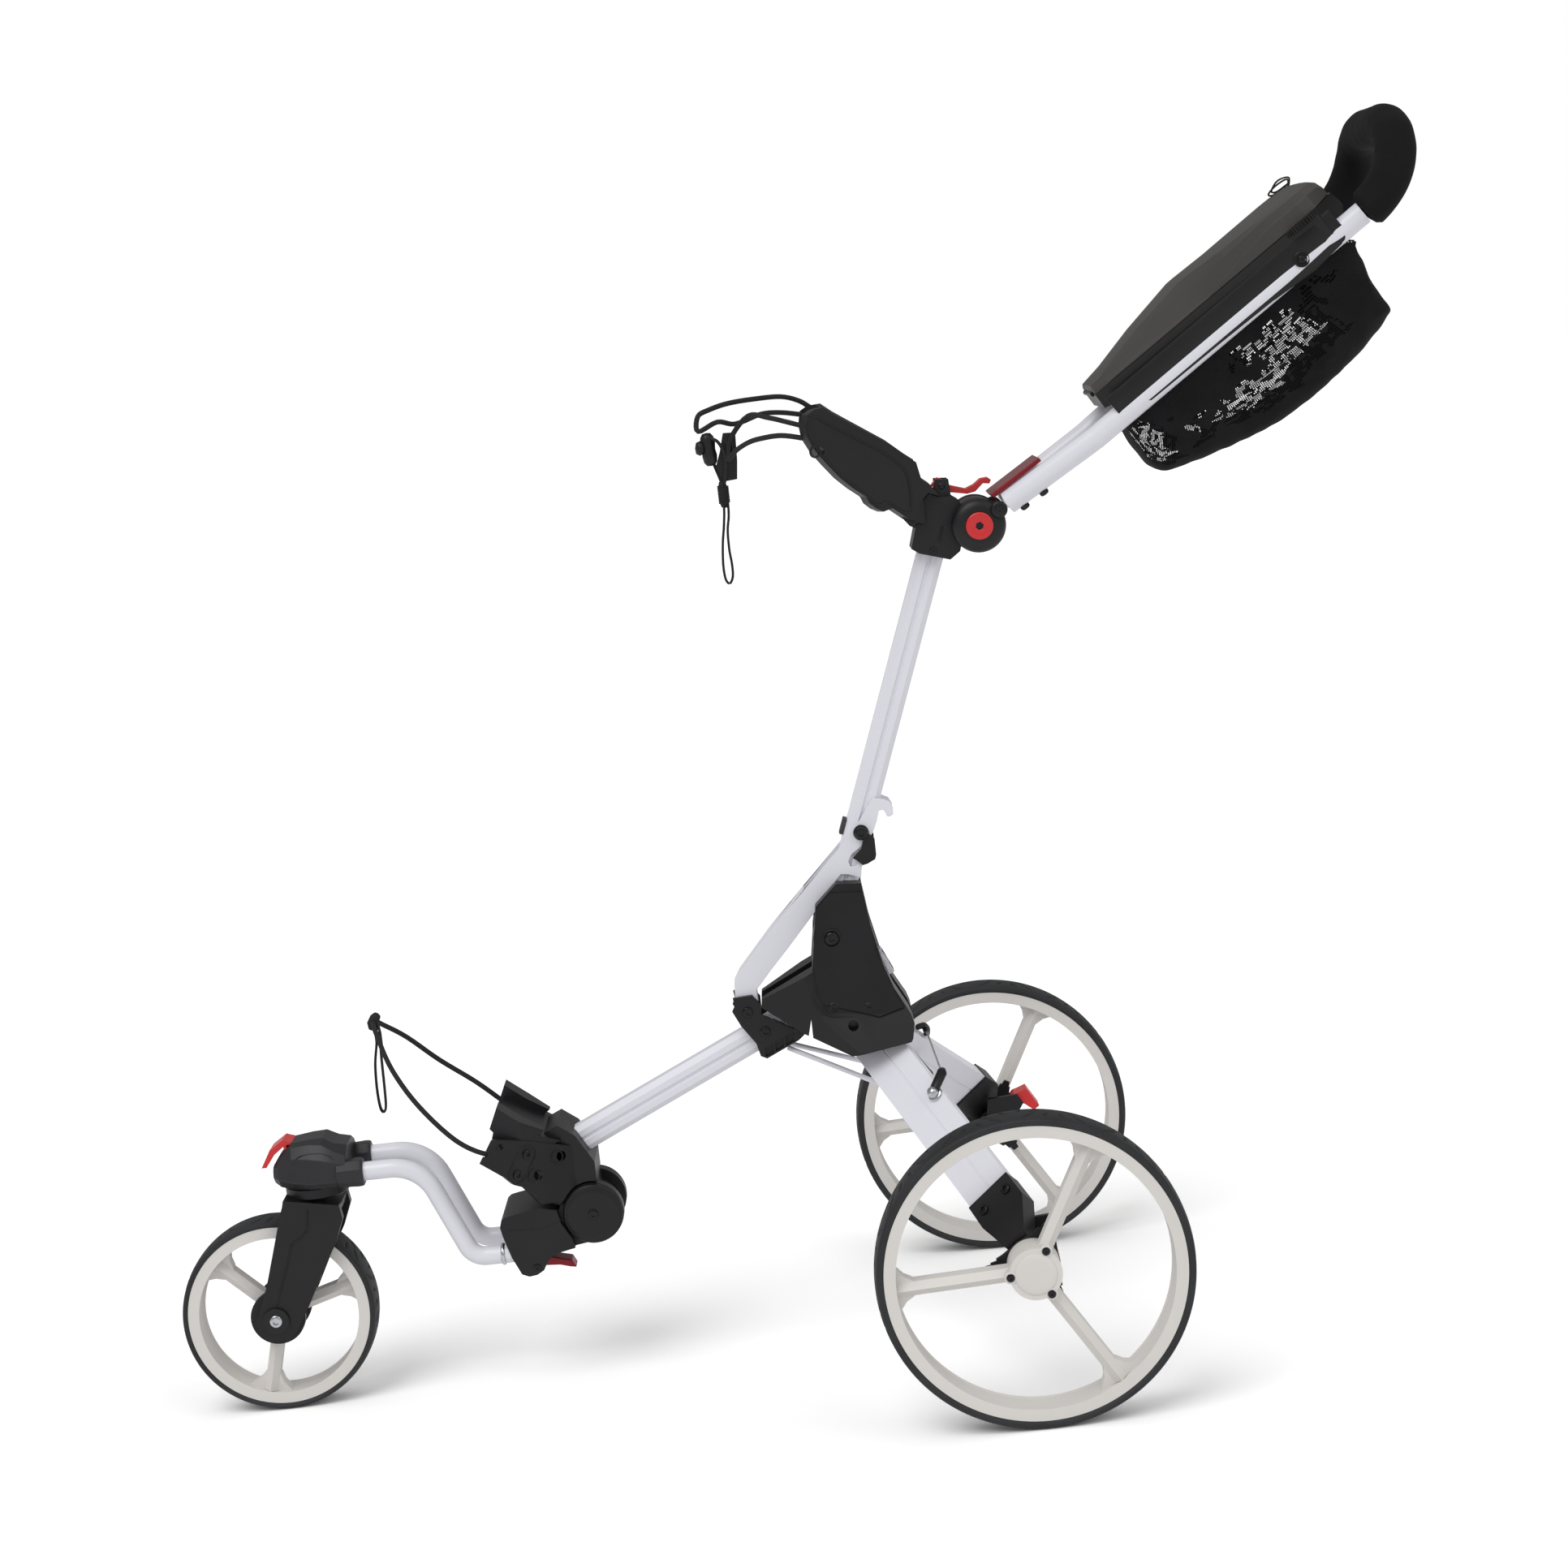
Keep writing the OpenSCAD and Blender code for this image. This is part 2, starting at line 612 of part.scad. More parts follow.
upper_cord_near_path = [
  [115, 76, 897], [127, 74, 901], [146, 66, 905], [164, 54, 904], [177, 40, 901], [190, 24, 894], [198, 10, 886],
  [194, 3, 905], [175, 16, 925], [156, 40, 922], [140, 58, 917], [120, 72, 910]
];
upper_cord_far_path = [
  [114, -74, 924], [125, -72, 932], [142, -62, 938], [167, -44, 939], [193, -26, 938], [212, -14, 934], [223, -6, 929],
  [224, 2, 915], [205, -4, 922], [188, -14, 918], [163, -36, 924], [144, -54, 923], [122, -72, 918]
];

module upper_cord_near() color(foam_black) placed() swept(upper_cord_near_path, cord_d / 2, 8, [0.1, 0.3, 1]);
module upper_cord_far() color(foam_black) placed() swept(upper_cord_far_path, cord_d / 2, 8, [0.1, 0.3, 1]);

module cord_hooks()
  color(foam_black) placed() {
    side([[206, 911], [189, 911], [190, 862], [212, 862], [212, 880]], -6, 0);
    bar([215, 897], 9, -18, 18);
  }

module upper_pull_strap() color(foam_black) placed() side([[205, 862], [212, 862], [212, 770], [205, 770]], -6, 6);

// ---- Handle ----------------------------------------------------------------

handle_r = handle_d / 2;
handle_start = 34.5;
handle_bend = [-150, 872];
handle_end = [-404, 1050];
handle_y0 = 35;
handle_y1 = grip_w / 2;
handle_slope = atan2(handle_bend[1] - top_joint[1], handle_bend[0] - top_joint[0]);
handle_from = polar(top_joint, handle_start, handle_slope);

function handle_y(x) = handle_y0 + (handle_y1 - handle_y0) * (handle_from[0] - x) / (handle_from[0] - handle_end[0]);
function handle_3d(p) = [p[0], handle_y(p[0]), p[1]];

module handle_bar_shape(r) {
  strut3(handle_3d(handle_from), handle_3d(handle_bend), r);
  translate(handle_3d(handle_bend)) sphere(r = r);
  strut3(handle_3d(handle_bend), handle_3d(handle_end), r);
}

module handle_tubes()
  color(white_paint) placed() both()
    swept([handle_3d(handle_from), handle_3d(handle_bend), handle_3d(handle_end)], handle_r, 32, [0, 1, 0]);

lug_in = head_half + side_gap;
lug_out = top_joint_w / 2 - 2;

module handle_lugs()
  color(black_plastic) placed() both() difference() {
    union() {
      bar(top_joint, top_disc_d / 2, lug_in, lug_out);
      bar(polar(top_joint, 24, handle_slope - 2), 8, lug_out - 8, lug_out + 2);
    }
    bar(top_joint, bolt_r, 0, 60);
  }

module red_caps() color(signal_red) placed() both() bar(top_joint, 13, lug_out, lug_out + 3);

module handle_bar()
  color(dark_red) placed() side([[-45, 827.1], [-94, 857], [-96.5, 853.5], [-48, 823.2]], -handle_y0, handle_y0);

grip_path_half = [
  [-405.6, 107.3, 1051.2], [-416, 108, 1060], [-428, 107, 1074], [-436, 104, 1090], [-440, 96, 1106],
  [-441, 82, 1119], [-441, 64, 1126], [-441, 44, 1129], [-441, 22, 1129]
];

module foam_grip() {
  half = [for (p = grip_path_half) [p[0], p[1] * grip_w / 214, p[2]]];
  back = [for (i = [len(half) - 1:-1:0]) [half[i][0], -half[i][1], half[i][2]]];
  color(foam_black) placed() swept(concat(half, [[-441, 0, 1129]], back), grip_d / 2, 20, [1, 0, 0.2]);
}

console_at = [-150, 905];
console_angle = 144.9;

// Console frame: +Z runs up the handle, +X points up out of the lid, origin at the console's tip
module console_frame() along(console_at, console_angle) children();

// Outline across the console, from the tip to the upper end
module console_plan(inset, h0, h1)
  translate([h0, 0, 0]) rotate([0, 90, 0]) linear_extrude(h1 - h0)
    polygon([
      [-3 - inset, -48 + inset], [-26, -62 + inset], [-258, -112 + inset], [-286 + inset, -80 + inset],
      [-286 + inset, 80 - inset], [-258, 112 - inset], [-26, 62 - inset], [-3 - inset, 48 - inset]
    ]);

module console_side(pts) rotate([90, 0, 0]) translate([0, 0, -120]) linear_extrude(240) polygon(pts);

lid_hinge = [4.15, 4];
lid_barrel_r = 2.6;
lid_barrel_half = 34;

module lid_barrel(r, half)
  translate([lid_hinge[0], half, lid_hinge[1]]) rotate([90, 0, 0]) cylinder(r = r, h = 2 * half);

module console_base()
  color(black_plastic) placed() difference() {
    console_frame() difference() {
      intersection() {
        console_plan(0, -44, 4);
        console_side([[4, 4], [-12, 3], [-17, 26], [-29, 31], [-27, 46], [-39, 226], [-36, 258], [-12, 287], [4, 284]]);
      }
      console_plan(16, -14, 6);
    }
    both() handle_bar_shape(handle_r + 0.2);
    console_frame() {
      translate([-46, -70, 36]) cube([30, 140, 200]);
      block(-8 - side_gap, 3 + side_gap, -12 - side_gap, 12 + side_gap, 277, 290);
      lid_barrel(lid_barrel_r + side_gap, lid_barrel_half + side_gap);
    }
  }

module console_lid()
  color(dark_grey) placed() console_frame() {
    difference() {
      intersection() {
        console_plan(1, 4.3, 40);
        console_side([[4.3, 4], [12, 7], [14, 21], [24.3, 73], [32, 130], [29.7, 166], [25.6, 278], [4.3, 282]]);
      }
      intersection() {
        console_plan(5, 0, 40);
        console_side([[0, 9], [9, 12], [11, 22], [21, 74], [28.6, 130], [26.4, 166], [22.4, 274], [0, 276]]);
      }
    }
    lid_barrel(lid_barrel_r, lid_barrel_half);
  }

module console_button()
  color(signal_red) placed() console_frame() block(-8, 3, -12, 12, 281, 291);

module console_fittings()
  color(black_plastic) placed() both() difference() {
    console_frame() difference() {
      translate([-20, 100, 238]) rotate([-90, 0, 0]) cylinder(r = 10, h = 11);
      console_plan(0, -44, 4);
    }
    handle_bar_shape(handle_r + side_gap);
  }

bag_side = [
  [-190, 893], [-176, 874], [-187, 855], [-205, 831], [-216, 829], [-275, 845], [-336, 871], [-395, 910], [-430, 946],
  [-438, 955], [-423, 975], [-412, 1003], [-394, 1016], [-366, 1000]
];

bag_inner = [
  [-150, 905], [-166, 890], [-179, 874], [-189, 856], [-206, 834], [-216, 832], [-274, 848], [-334, 874], [-393, 913],
  [-427, 948], [-434, 956], [-420, 977], [-409, 1003], [-394, 1030], [-340, 1030]
];
bag_gap = 0.3;

// Half the pouch's width: it hangs between the handle tubes
function bag_half(x) = handle_y(x) - handle_r * 0.96 - bag_gap;

module bag_block(outline, wall)
  intersection() {
    side(outline, -200, 200);
    translate([0, 0, 700]) linear_extrude(400)
      polygon([
        for (s = [1, -1]) each [for (x = s > 0 ? [-150, -404, -450] : [-450, -404, -150])
          [x, s * (bag_half(max(x, -404)) - wall)]]
      ]);
  }

// Mesh pouch under the console, open along its top
module mesh_bag()
  color(foam_black) placed() difference() {
    bag_block(bag_side, 0);
    bag_block(bag_inner, 2);
  }

// ---- Legs ------------------------------------------------------------------

module leg_tubes()
  color(white_paint) placed() both() leg_frame() difference() {
    block(leg_start, leg_len, -leg_t / 2, leg_t / 2, -leg_w / 2, leg_w / 2);
    block(leg_start - 1, leg_len + 1, -leg_t / 2 + tube_wall, leg_t / 2 - tube_wall, -leg_w / 2 + tube_wall, leg_w / 2 - tube_wall);
    for (s = [-1, 1]) block(leg_start - 1, leg_len + 1, s * leg_t / 2 - 0.8, s * leg_t / 2 + 0.8, -3, -1.6);
  }

rod_on_leg = polar(leg_hinge, 110, leg_dir);
rod_pin_r = 2;
rod_lug_y = rod_rear_y + 2.5 + side_gap;
rod_lug_x = 131;

// Arm under the leg that carries the spreader rod's rear pin
module rod_lug() {
  difference() {
    union() {
      leg_frame() translate([rod_lug_x, -leg_t / 2, 0]) rotate([90, 0, 0]) cylinder(r = 6, h = 28);
      bar(rod_on_leg, 6, rod_lug_y, rod_lug_y + 7);
    }
    bar(rod_on_leg, 9, rod_lug_y - 20, rod_lug_y);
  }
  bar(rod_on_leg, rod_pin_r, rod_rear_y - 4, rod_lug_y + 1);
}

module leg_knuckles()
  color(black_plastic) placed() both() difference() {
    union() {
      bar(leg_hinge, 13, 1, tube_half);
      along(leg_hinge, leg_dir) block(-12, 12, 1, tube_half, 0, 30);
      leg_frame() block(38, leg_start + 34, -leg_t / 2 + tube_wall + 0.1, leg_t / 2 - tube_wall - 0.1,
        -leg_w / 2 + tube_wall + 0.1, leg_w / 2 - tube_wall - 0.1);
      rod_lug();
    }
    bar(leg_hinge, bolt_r + running, 0, 60);
  }

bracket_inner = track / 2 - 42;
bracket_outer = track / 2 - wheel_half - 0.5;

module axle_brackets()
  color(black_plastic) placed() both() difference() {
    union() {
      leg_frame() translate([leg_len, 0, 0]) rotate([90, 0, 0]) translate([0, 0, -leg_t / 2 - 3]) linear_extrude(leg_t + 6)
        polygon([[-26, -leg_w / 2 - 1], [-26, leg_w / 2 + 1], [2, leg_w / 2 + 2], [18, 22], [42, 18], [44, 2], [30, -8], [4, -leg_w / 2 - 1]]);
      bar(rear_axle_at, 15, bracket_inner, bracket_outer);
      side(from(rear_axle_at, [[-27, 33], [4, 31], [8, 5], [-12, -9], [-33, 23]]), brake_in - 5, brake_in);
      bar(brake_pivot, 3, brake_in - 2, brake_in + 24);
      bar(rear_axle_at, 11, brake_in - 5, bracket_inner);
    }
    leg_frame() block(0, leg_len, -leg_t / 2, leg_t / 2, -leg_w / 2, leg_w / 2);
    block(-80, 80, bracket_outer, bracket_outer + 60, 0, 400);
    bar(rear_axle_at, rear_axle_d / 2, brake_in - 6, bracket_outer + 1);
  }

module rear_axles()
  color(steel) placed() both() bar(rear_axle_at, rear_axle_d / 2, bracket_inner, track / 2 + hub_half - side_gap);

module leg_screws()
  color(steel) placed() both() leg_frame()
    for (s = [-1, 1]) translate([leg_len - 12, leg_t / 2 + 3, s * 14]) rotate([-90, 0, 0]) cylinder(d = screw_head_d, h = 2);

tie_ball = [158, leg_t / 2 + 5, -16];
tie_socket = [146, leg_t / 2 + 2, -34];
tie_clip = [126, 0, -leg_w / 2 - 7];

// Tie between the legs: a ball stud and socket on the left leg, a wire, and a clip on the right leg's rear edge
module tie_link()
  color(steel) placed() {
    wire_end = on_leg(tie_clip);
    leg_frame() {
      translate([tie_ball[0], leg_t / 2, tie_ball[2]]) rotate([-90, 0, 0]) cylinder(r = 4.5, h = 3);
      translate(tie_ball) sphere(r = 5.5);
      strut3(tie_ball, tie_socket, 4);
    }
    strut3(on_leg(tie_socket), [wire_end[0], -wire_end[1], wire_end[2]], 1.2);
    mirror([0, 1, 0]) leg_frame()
      block(tie_clip[0] - 12, tie_clip[0] + 12, -6, 6, -leg_w / 2 - 9, -leg_w / 2);
  }

brake_pivot = rear_axle_at + [-27, 27];
brake_in = track / 2 - 54;

module brake_pedal()
  color(signal_red) placed() mirror([0, 1, 0]) difference() {
    union() {
      bar(brake_pivot, 6, brake_in + side_gap, brake_in + 22);
      side(from(brake_pivot, [[0, 6], [-11, 10], [-23, -10], [-17, -14], [-7, -6], [0, -6]]), brake_in + side_gap, brake_in + 22);
    }
    bar(brake_pivot, 3 + running, brake_in, brake_in + 23);
  }

module spreader_rods()
  color(white_paint) placed() both() difference() {
    union() {
      strut3([rod_front[0], rod_front_y, rod_front[1]], [rod_on_leg[0], rod_rear_y, rod_on_leg[1]], rod_d / 2);
      bar(rod_on_leg, 5, rod_rear_y - 2.5, rod_rear_y + 2.5);
    }
    bar(rod_on_leg, rod_pin_r + running, rod_rear_y - 10, rod_rear_y + 10);
  }

// ---- Front -----------------------------------------------------------------

link_half = yoke_gap / 2 + 10;
link_side = [
  [501, 175], [497, 178], [489, 179.5], [463, 184], [446, 180], [443, 166], [434, 150], [432, 140], [440, 138.5],
  [452, 136], [460, 130], [465, 121], [472, 117], [480, 116], [487, 119], [495, 137], [501, 158], [503, 168]
];

lever_half = 10;
lever_pivot = [466, 121];
lever_pin_r = 2;

module front_link()
  color(black_plastic) placed() {
    front_link_body();
    bar(lever_pivot, lever_pin_r, -lever_half - 2, lever_half + 2);
  }

module front_link_body()
  difference() {
    union() {
      side(link_side, -link_half, link_half);
      both() bar(front_hinge, front_disc_d / 2, front_ear_in, front_ear_in + front_ear_t);
      both() side([[411, 198], [446, 177.5], [446, 138], [411, 143]], front_ear_in, front_ear_in + front_ear_t);
    }
    // Knuckle of the bag bracket
    bar(front_hinge, 24, -front_ear_in, front_ear_in);
    side([[400, 210], [400, 130], [440, 150], [446, 190]], -front_ear_in, front_ear_in);
    bar(front_hinge, bolt_r + running, -60, 60);
    both() bar(front_hinge, front_disc_d / 2 + 0.5, front_ear_in + front_ear_t, link_half + 1);
    both() strut3([520, yoke_gap / 2, 139], [490, yoke_gap / 2, 139], yoke_d / 2);
    block(446, 473, -lever_half - side_gap, lever_half + side_gap, 100, 129);
  }

module front_discs()
  color(black_plastic) placed() both() difference() {
    bar(front_hinge, front_disc_d / 2 - 0.5, front_ear_in + front_ear_t, front_hinge_w / 2);
    bar(front_hinge, bolt_r + running, 0, 60);
  }

module release_lever()
  color(dark_red) placed() difference() {
    union() {
      bar(lever_pivot, 5, -lever_half, lever_half);
      side([[466, 126], [452, 122], [440, 119], [436, 111], [442, 112], [452, 115], [466, 116]], -lever_half, lever_half);
    }
    bar(lever_pivot, lever_pin_r + running, -20, 20);
  }

// The yoke's free length between the link and the head housing, and its two bends
yoke_link_x = 503;
yoke_free = swivel_x - 53 - yoke_link_x;
yoke_path = [
  [swivel_x - 20, head_z], [yoke_link_x + yoke_free * 71 / 126, head_z], [yoke_link_x + yoke_free * 30 / 126, 139], [492, 139]
];
yoke_radii = [0, 45 * yoke_free / 126, 20, 0];
bend_steps = 6;

// Points of one rounded corner of a bent tube, in the side view
function corner(p, a, b, radius) =
  let (
    before = (p - a) / norm(p - a), after = (b - p) / norm(b - p), turn = acos(before * after),
    s = sign(before[0] * after[1] - before[1] * after[0]), enter = p - before * radius * tan(turn / 2),
    centre = enter + s * radius * [-before[1], before[0]], from = atan2(enter[1] - centre[1], enter[0] - centre[0])
  )
  [for (k = [0:bend_steps]) polar(centre, radius, from + s * turn * k / bend_steps)];

function bent(pts, radii) =
  [for (i = [0:len(pts) - 1]) each (radii[i] > 0 ? corner(pts[i], pts[i - 1], pts[i + 1], radii[i]) : [pts[i]])];

module yoke_tubes()
  color(white_paint) placed() both()
    swept([for (p = bent(yoke_path, yoke_radii)) [p[0], yoke_gap / 2, p[1]]], yoke_d / 2, 24, [0, 1, 0]);

head_side = ahead_of_swivel([[-53, 224], [-53, 252], [-27, 262], [-14, 272], [18, 268], [40, 242], [36, 230], [24, 224]]);

head_lever_half = 14;
head_lever_pivot = [swivel_x + 21, 265];

module head_housing()
  color(black_plastic) placed() {
    difference() {
      side(head_side, -42, 42);
      both() strut3([swivel_x - 62, yoke_gap / 2, head_z], [swivel_x - 20, yoke_gap / 2, head_z], yoke_d / 2);
      translate([swivel_x, 0, 200]) cylinder(r = 12 + running, h = 50);
      bar(head_lever_pivot, 6, -head_lever_half - side_gap, head_lever_half + side_gap);
    }
    bar(head_lever_pivot, lever_pin_r, -head_lever_half - 2, head_lever_half + 2);
  }

module head_lever()
  color(signal_red) placed() difference() {
    union() {
      bar(head_lever_pivot, 5, -head_lever_half, head_lever_half);
      side(from(head_lever_pivot, [[0, 5], [5, 7], [19, -2], [29, -19], [24, -19], [15, -7], [4, 1]]), -head_lever_half, head_lever_half);
    }
    bar(head_lever_pivot, lever_pin_r + running, -20, 20);
  }

collar_r = 31;
fork_half = wheel_half + 4;

fork_side = concat(
  ahead_of_swivel([[29, 216], [-24, 206], [-26, 192], [-16, 168]]),
  from(front_axle_at, [
    [-50, 41.5], [-34, 11.5], [-18, -14.5], [-12, -20.5], [10, -20.5], [18, -10.5], [20, -0.5], [5, 35.5]
  ]),
  ahead_of_swivel([[39, 188], [34, 204]])
);

module fork()
  color(black_plastic) placed() difference() {
    union() {
      translate([swivel_x, 0, 214]) cylinder(r = collar_r, h = 9);
      translate([swivel_x, 0, 214]) cylinder(r = 12, h = 34);
      side(ahead_of_swivel([[30, 216], [-24, 204], [-22, 196], [34, 200]]), -fork_half - 10, fork_half + 10);
      both() {
        side(fork_side, fork_half, fork_half + 10);
        bar(front_axle_at, 27, front_hub_half + side_gap, fork_half);
        bar(front_axle_at, 13, fork_half, fork_half + 13);
      }
    }
    bar(front_axle_at, front_axle_d / 2, -60, 60);
  }

module front_axle()
  color(steel) placed() {
    bar(front_axle_at, front_axle_d / 2, -fork_half - 13, fork_half + 13);
    both() bar(front_axle_at, 6, fork_half + 13, fork_half + 17);
  }

lower_tube();
housing_left();
housing_right();
frame_screws();
mast_pivot_bolt();
leg_hinge_pin();
lower_bag_bracket();
front_hinge_bolt();
lower_shock_cord();
lower_pull_strap();
slider_bracket();
slider_screws();
mast_tube();
mast_foot();
strut_pivot_pin();
mast_clip();
mast_head();
upper_bag_bracket();
top_joint_bolt();
upper_cord_near();
upper_cord_far();
cord_hooks();
upper_pull_strap();
strut_channel();
mast_catch();
cam_lever();
handle_tubes();
handle_lugs();
red_caps();
handle_bar();
foam_grip();
console_base();
console_fittings();
mesh_bag();
console_lid();
console_button();
leg_tubes();
leg_knuckles();
axle_brackets();
rear_axles();
leg_screws();
tie_link();
brake_pedal();
spreader_rods();
rear_tyre_left();
rear_rim_left();
hub_cover_left();
rear_tyre_right();
rear_rim_right();
hub_cover_right();
front_link();
front_discs();
release_lever();
yoke_tubes();
head_housing();
head_lever();
fork();
front_axle();
front_tyre();
front_rim();
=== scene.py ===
"""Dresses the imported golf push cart: camera, light, cords, materials and the shaped pieces."""
import json
import math

import bmesh
import bpy
import numpy as np
from mathutils import Matrix, Vector, noise


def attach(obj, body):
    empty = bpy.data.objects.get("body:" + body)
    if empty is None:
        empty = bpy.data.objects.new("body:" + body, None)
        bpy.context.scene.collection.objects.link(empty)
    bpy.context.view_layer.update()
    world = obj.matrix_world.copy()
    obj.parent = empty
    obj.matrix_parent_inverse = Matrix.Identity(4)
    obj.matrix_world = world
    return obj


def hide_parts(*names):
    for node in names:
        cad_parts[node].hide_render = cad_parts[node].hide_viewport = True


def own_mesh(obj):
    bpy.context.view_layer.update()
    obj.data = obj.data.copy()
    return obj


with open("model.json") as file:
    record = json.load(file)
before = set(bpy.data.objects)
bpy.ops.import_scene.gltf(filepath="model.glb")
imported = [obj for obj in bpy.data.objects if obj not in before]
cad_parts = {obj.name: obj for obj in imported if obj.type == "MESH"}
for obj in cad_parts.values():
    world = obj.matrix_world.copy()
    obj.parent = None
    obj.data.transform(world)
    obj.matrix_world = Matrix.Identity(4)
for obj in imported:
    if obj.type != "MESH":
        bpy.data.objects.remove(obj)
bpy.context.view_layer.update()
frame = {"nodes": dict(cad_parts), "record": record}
NODES = frame["nodes"]
BODY_OF = {n: b for b, ns in frame["record"]["behaviour"]["bodies"].items() for n in ns}

# Place of the rear axle in the row frame, in metres
REAR_X = -0.187
# Half the rear track, the wheels' radii and the front axle's place ahead of the rear one, in millimetres
HALF_TRACK = 278.0
REAR_R, REAR_RIM_R = 145.0, 137.0
FRONT_X, FRONT_R, FRONT_RIM_R = 734, 96.5, 90.0

# Camera, in metres, degrees, millimetres and widths of the sensor
CAMERA_AT = (-0.039, 2.963, 1.006)
YAW, PITCH, ROLL = 0.61, 8.41, -6.31
SENSOR = 36.0
FOCAL = 3800 / 1932


# ---- Camera ----

def placed(name, data):
    obj = bpy.data.objects.new(name, data)
    bpy.context.scene.collection.objects.link(obj)
    return obj


def place_camera():
    yaw, pitch, roll = (math.radians(a) for a in (YAW, PITCH, ROLL))
    turn = Matrix.Rotation(yaw, 3, "Z")
    right, ahead, up = turn @ Vector((-1, 0, 0)), turn @ Vector((0, -1, 0)), Vector((0, 0, 1))
    level = math.cos(pitch) * ahead - math.sin(pitch) * up
    over = math.cos(pitch) * up + math.sin(pitch) * ahead
    side = math.cos(roll) * right + math.sin(roll) * over
    top = math.cos(roll) * over - math.sin(roll) * right
    data = bpy.data.cameras.new("camera")
    data.sensor_width = SENSOR
    data.lens = SENSOR * FOCAL
    data.clip_end = 60
    cam = placed("camera", data)
    rot = Matrix((side, top, -level)).transposed()
    cam.matrix_world = Matrix.Translation(CAMERA_AT) @ rot.to_4x4()
    bpy.context.scene.camera = cam


place_camera()


# ---- Routes of the cords, [ahead of the rear axle, left, up] in millimetres ----

LOWER_CORD = [
    (490, 70, 256), (503, 71, 251), (531, 72, 268), (563, 66, 304), (586, 50, 338), (600, 24, 366),
    (606, 0, 378), (600, -24, 368), (582, -48, 348), (555, -64, 318), (522, -70, 290), (496, -70, 266),
]
UPPER_NEAR = [
    (115, 76, 897), (127, 74, 901), (146, 66, 905), (164, 54, 904), (177, 40, 901), (190, 24, 894),
    (198, 10, 886), (194, 3, 905), (175, 16, 925), (156, 40, 922), (140, 58, 917), (120, 72, 910),
]
UPPER_FAR = [
    (114, -74, 924), (125, -72, 932), (142, -62, 938), (167, -44, 939), (193, -26, 938), (212, -14, 934),
    (223, -6, 929), (224, 2, 915), (205, -4, 922), (188, -14, 918), (163, -36, 924), (144, -54, 923),
    (122, -72, 918),
]


# ---- Materials ----

def nodes_of(name):
    m = bpy.data.materials.new(name)
    m.use_nodes = True
    t = m.node_tree
    return m, t, t.nodes["Principled BSDF"]


def link(t, a, out, b, inp):
    t.links.new(a.outputs[out], b.inputs[inp])


def add(t, kind, **values):
    """A new shader node; values are its settings, or its inputs with _ for a space."""
    n = t.nodes.new(kind)
    for k, v in values.items():
        if hasattr(n, k):
            setattr(n, k, v)
        else:
            n.inputs[k.replace("_", " ")].default_value = v
    return n


def moulded(name, colour, rough, grain, bump, blotch, spread, metallic=0.0, coat=0.0, spec=0.5):
    """A surface with slow colour and roughness variation and a fine grain."""
    m, t, p = nodes_of(name)
    coord = add(t, "ShaderNodeTexCoord")
    slow = add(t, "ShaderNodeTexNoise", Scale=blotch, Detail=4.0)
    fine = add(t, "ShaderNodeTexNoise", Scale=grain, Detail=2.0)
    for n in (slow, fine):
        link(t, coord, "Object", n, "Vector")
    ramp = add(t, "ShaderNodeValToRGB")
    for e, s in zip(ramp.color_ramp.elements, (1 - spread, 1 + spread)):
        e.color = (*[min(1.0, c * s) for c in colour], 1)
    ramp.color_ramp.elements[0].position = 0.35
    ramp.color_ramp.elements[1].position = 0.65
    link(t, slow, "Fac", ramp, "Fac")
    link(t, ramp, "Color", p, "Base Color")
    remap = add(t, "ShaderNodeMapRange", To_Min=rough - 0.05, To_Max=rough + 0.05)
    link(t, slow, "Fac", remap, "Value")
    link(t, remap, "Result", p, "Roughness")
    b = add(t, "ShaderNodeBump", Strength=bump, Distance=0.0004)
    link(t, fine, "Fac", b, "Height")
    link(t, b, "Normal", p, "Normal")
    p.inputs["Metallic"].default_value = metallic
    p.inputs["Coat Weight"].default_value = coat
    p.inputs["Specular IOR Level"].default_value = spec
    return m


def braided(name, colour, scale):
    """Woven cover: two crossing waves as bump, with a slight lightening on the raised threads."""
    m, t, p = nodes_of(name)
    coord = add(t, "ShaderNodeTexCoord")
    waves = []
    for angle in (0.7, -0.7):
        mapping = add(t, "ShaderNodeMapping", Rotation=(angle, angle, angle))
        w = add(t, "ShaderNodeTexWave", Scale=scale, Distortion=0.5)
        link(t, coord, "Object", mapping, "Vector")
        link(t, mapping, "Vector", w, "Vector")
        waves.append(w)
    mix = add(t, "ShaderNodeMath", operation="MULTIPLY")
    t.links.new(waves[0].outputs["Fac"], mix.inputs[0])
    t.links.new(waves[1].outputs["Fac"], mix.inputs[1])
    ramp = add(t, "ShaderNodeValToRGB")
    ramp.color_ramp.elements[0].color = (*[c * 0.6 for c in colour], 1)
    ramp.color_ramp.elements[1].color = (*[c * 1.6 for c in colour], 1)
    link(t, mix, "Value", ramp, "Fac")
    link(t, ramp, "Color", p, "Base Color")
    b = add(t, "ShaderNodeBump", Strength=0.5, Distance=0.0004)
    link(t, mix, "Value", b, "Height")
    link(t, b, "Normal", p, "Normal")
    p.inputs["Roughness"].default_value = 0.85
    return m


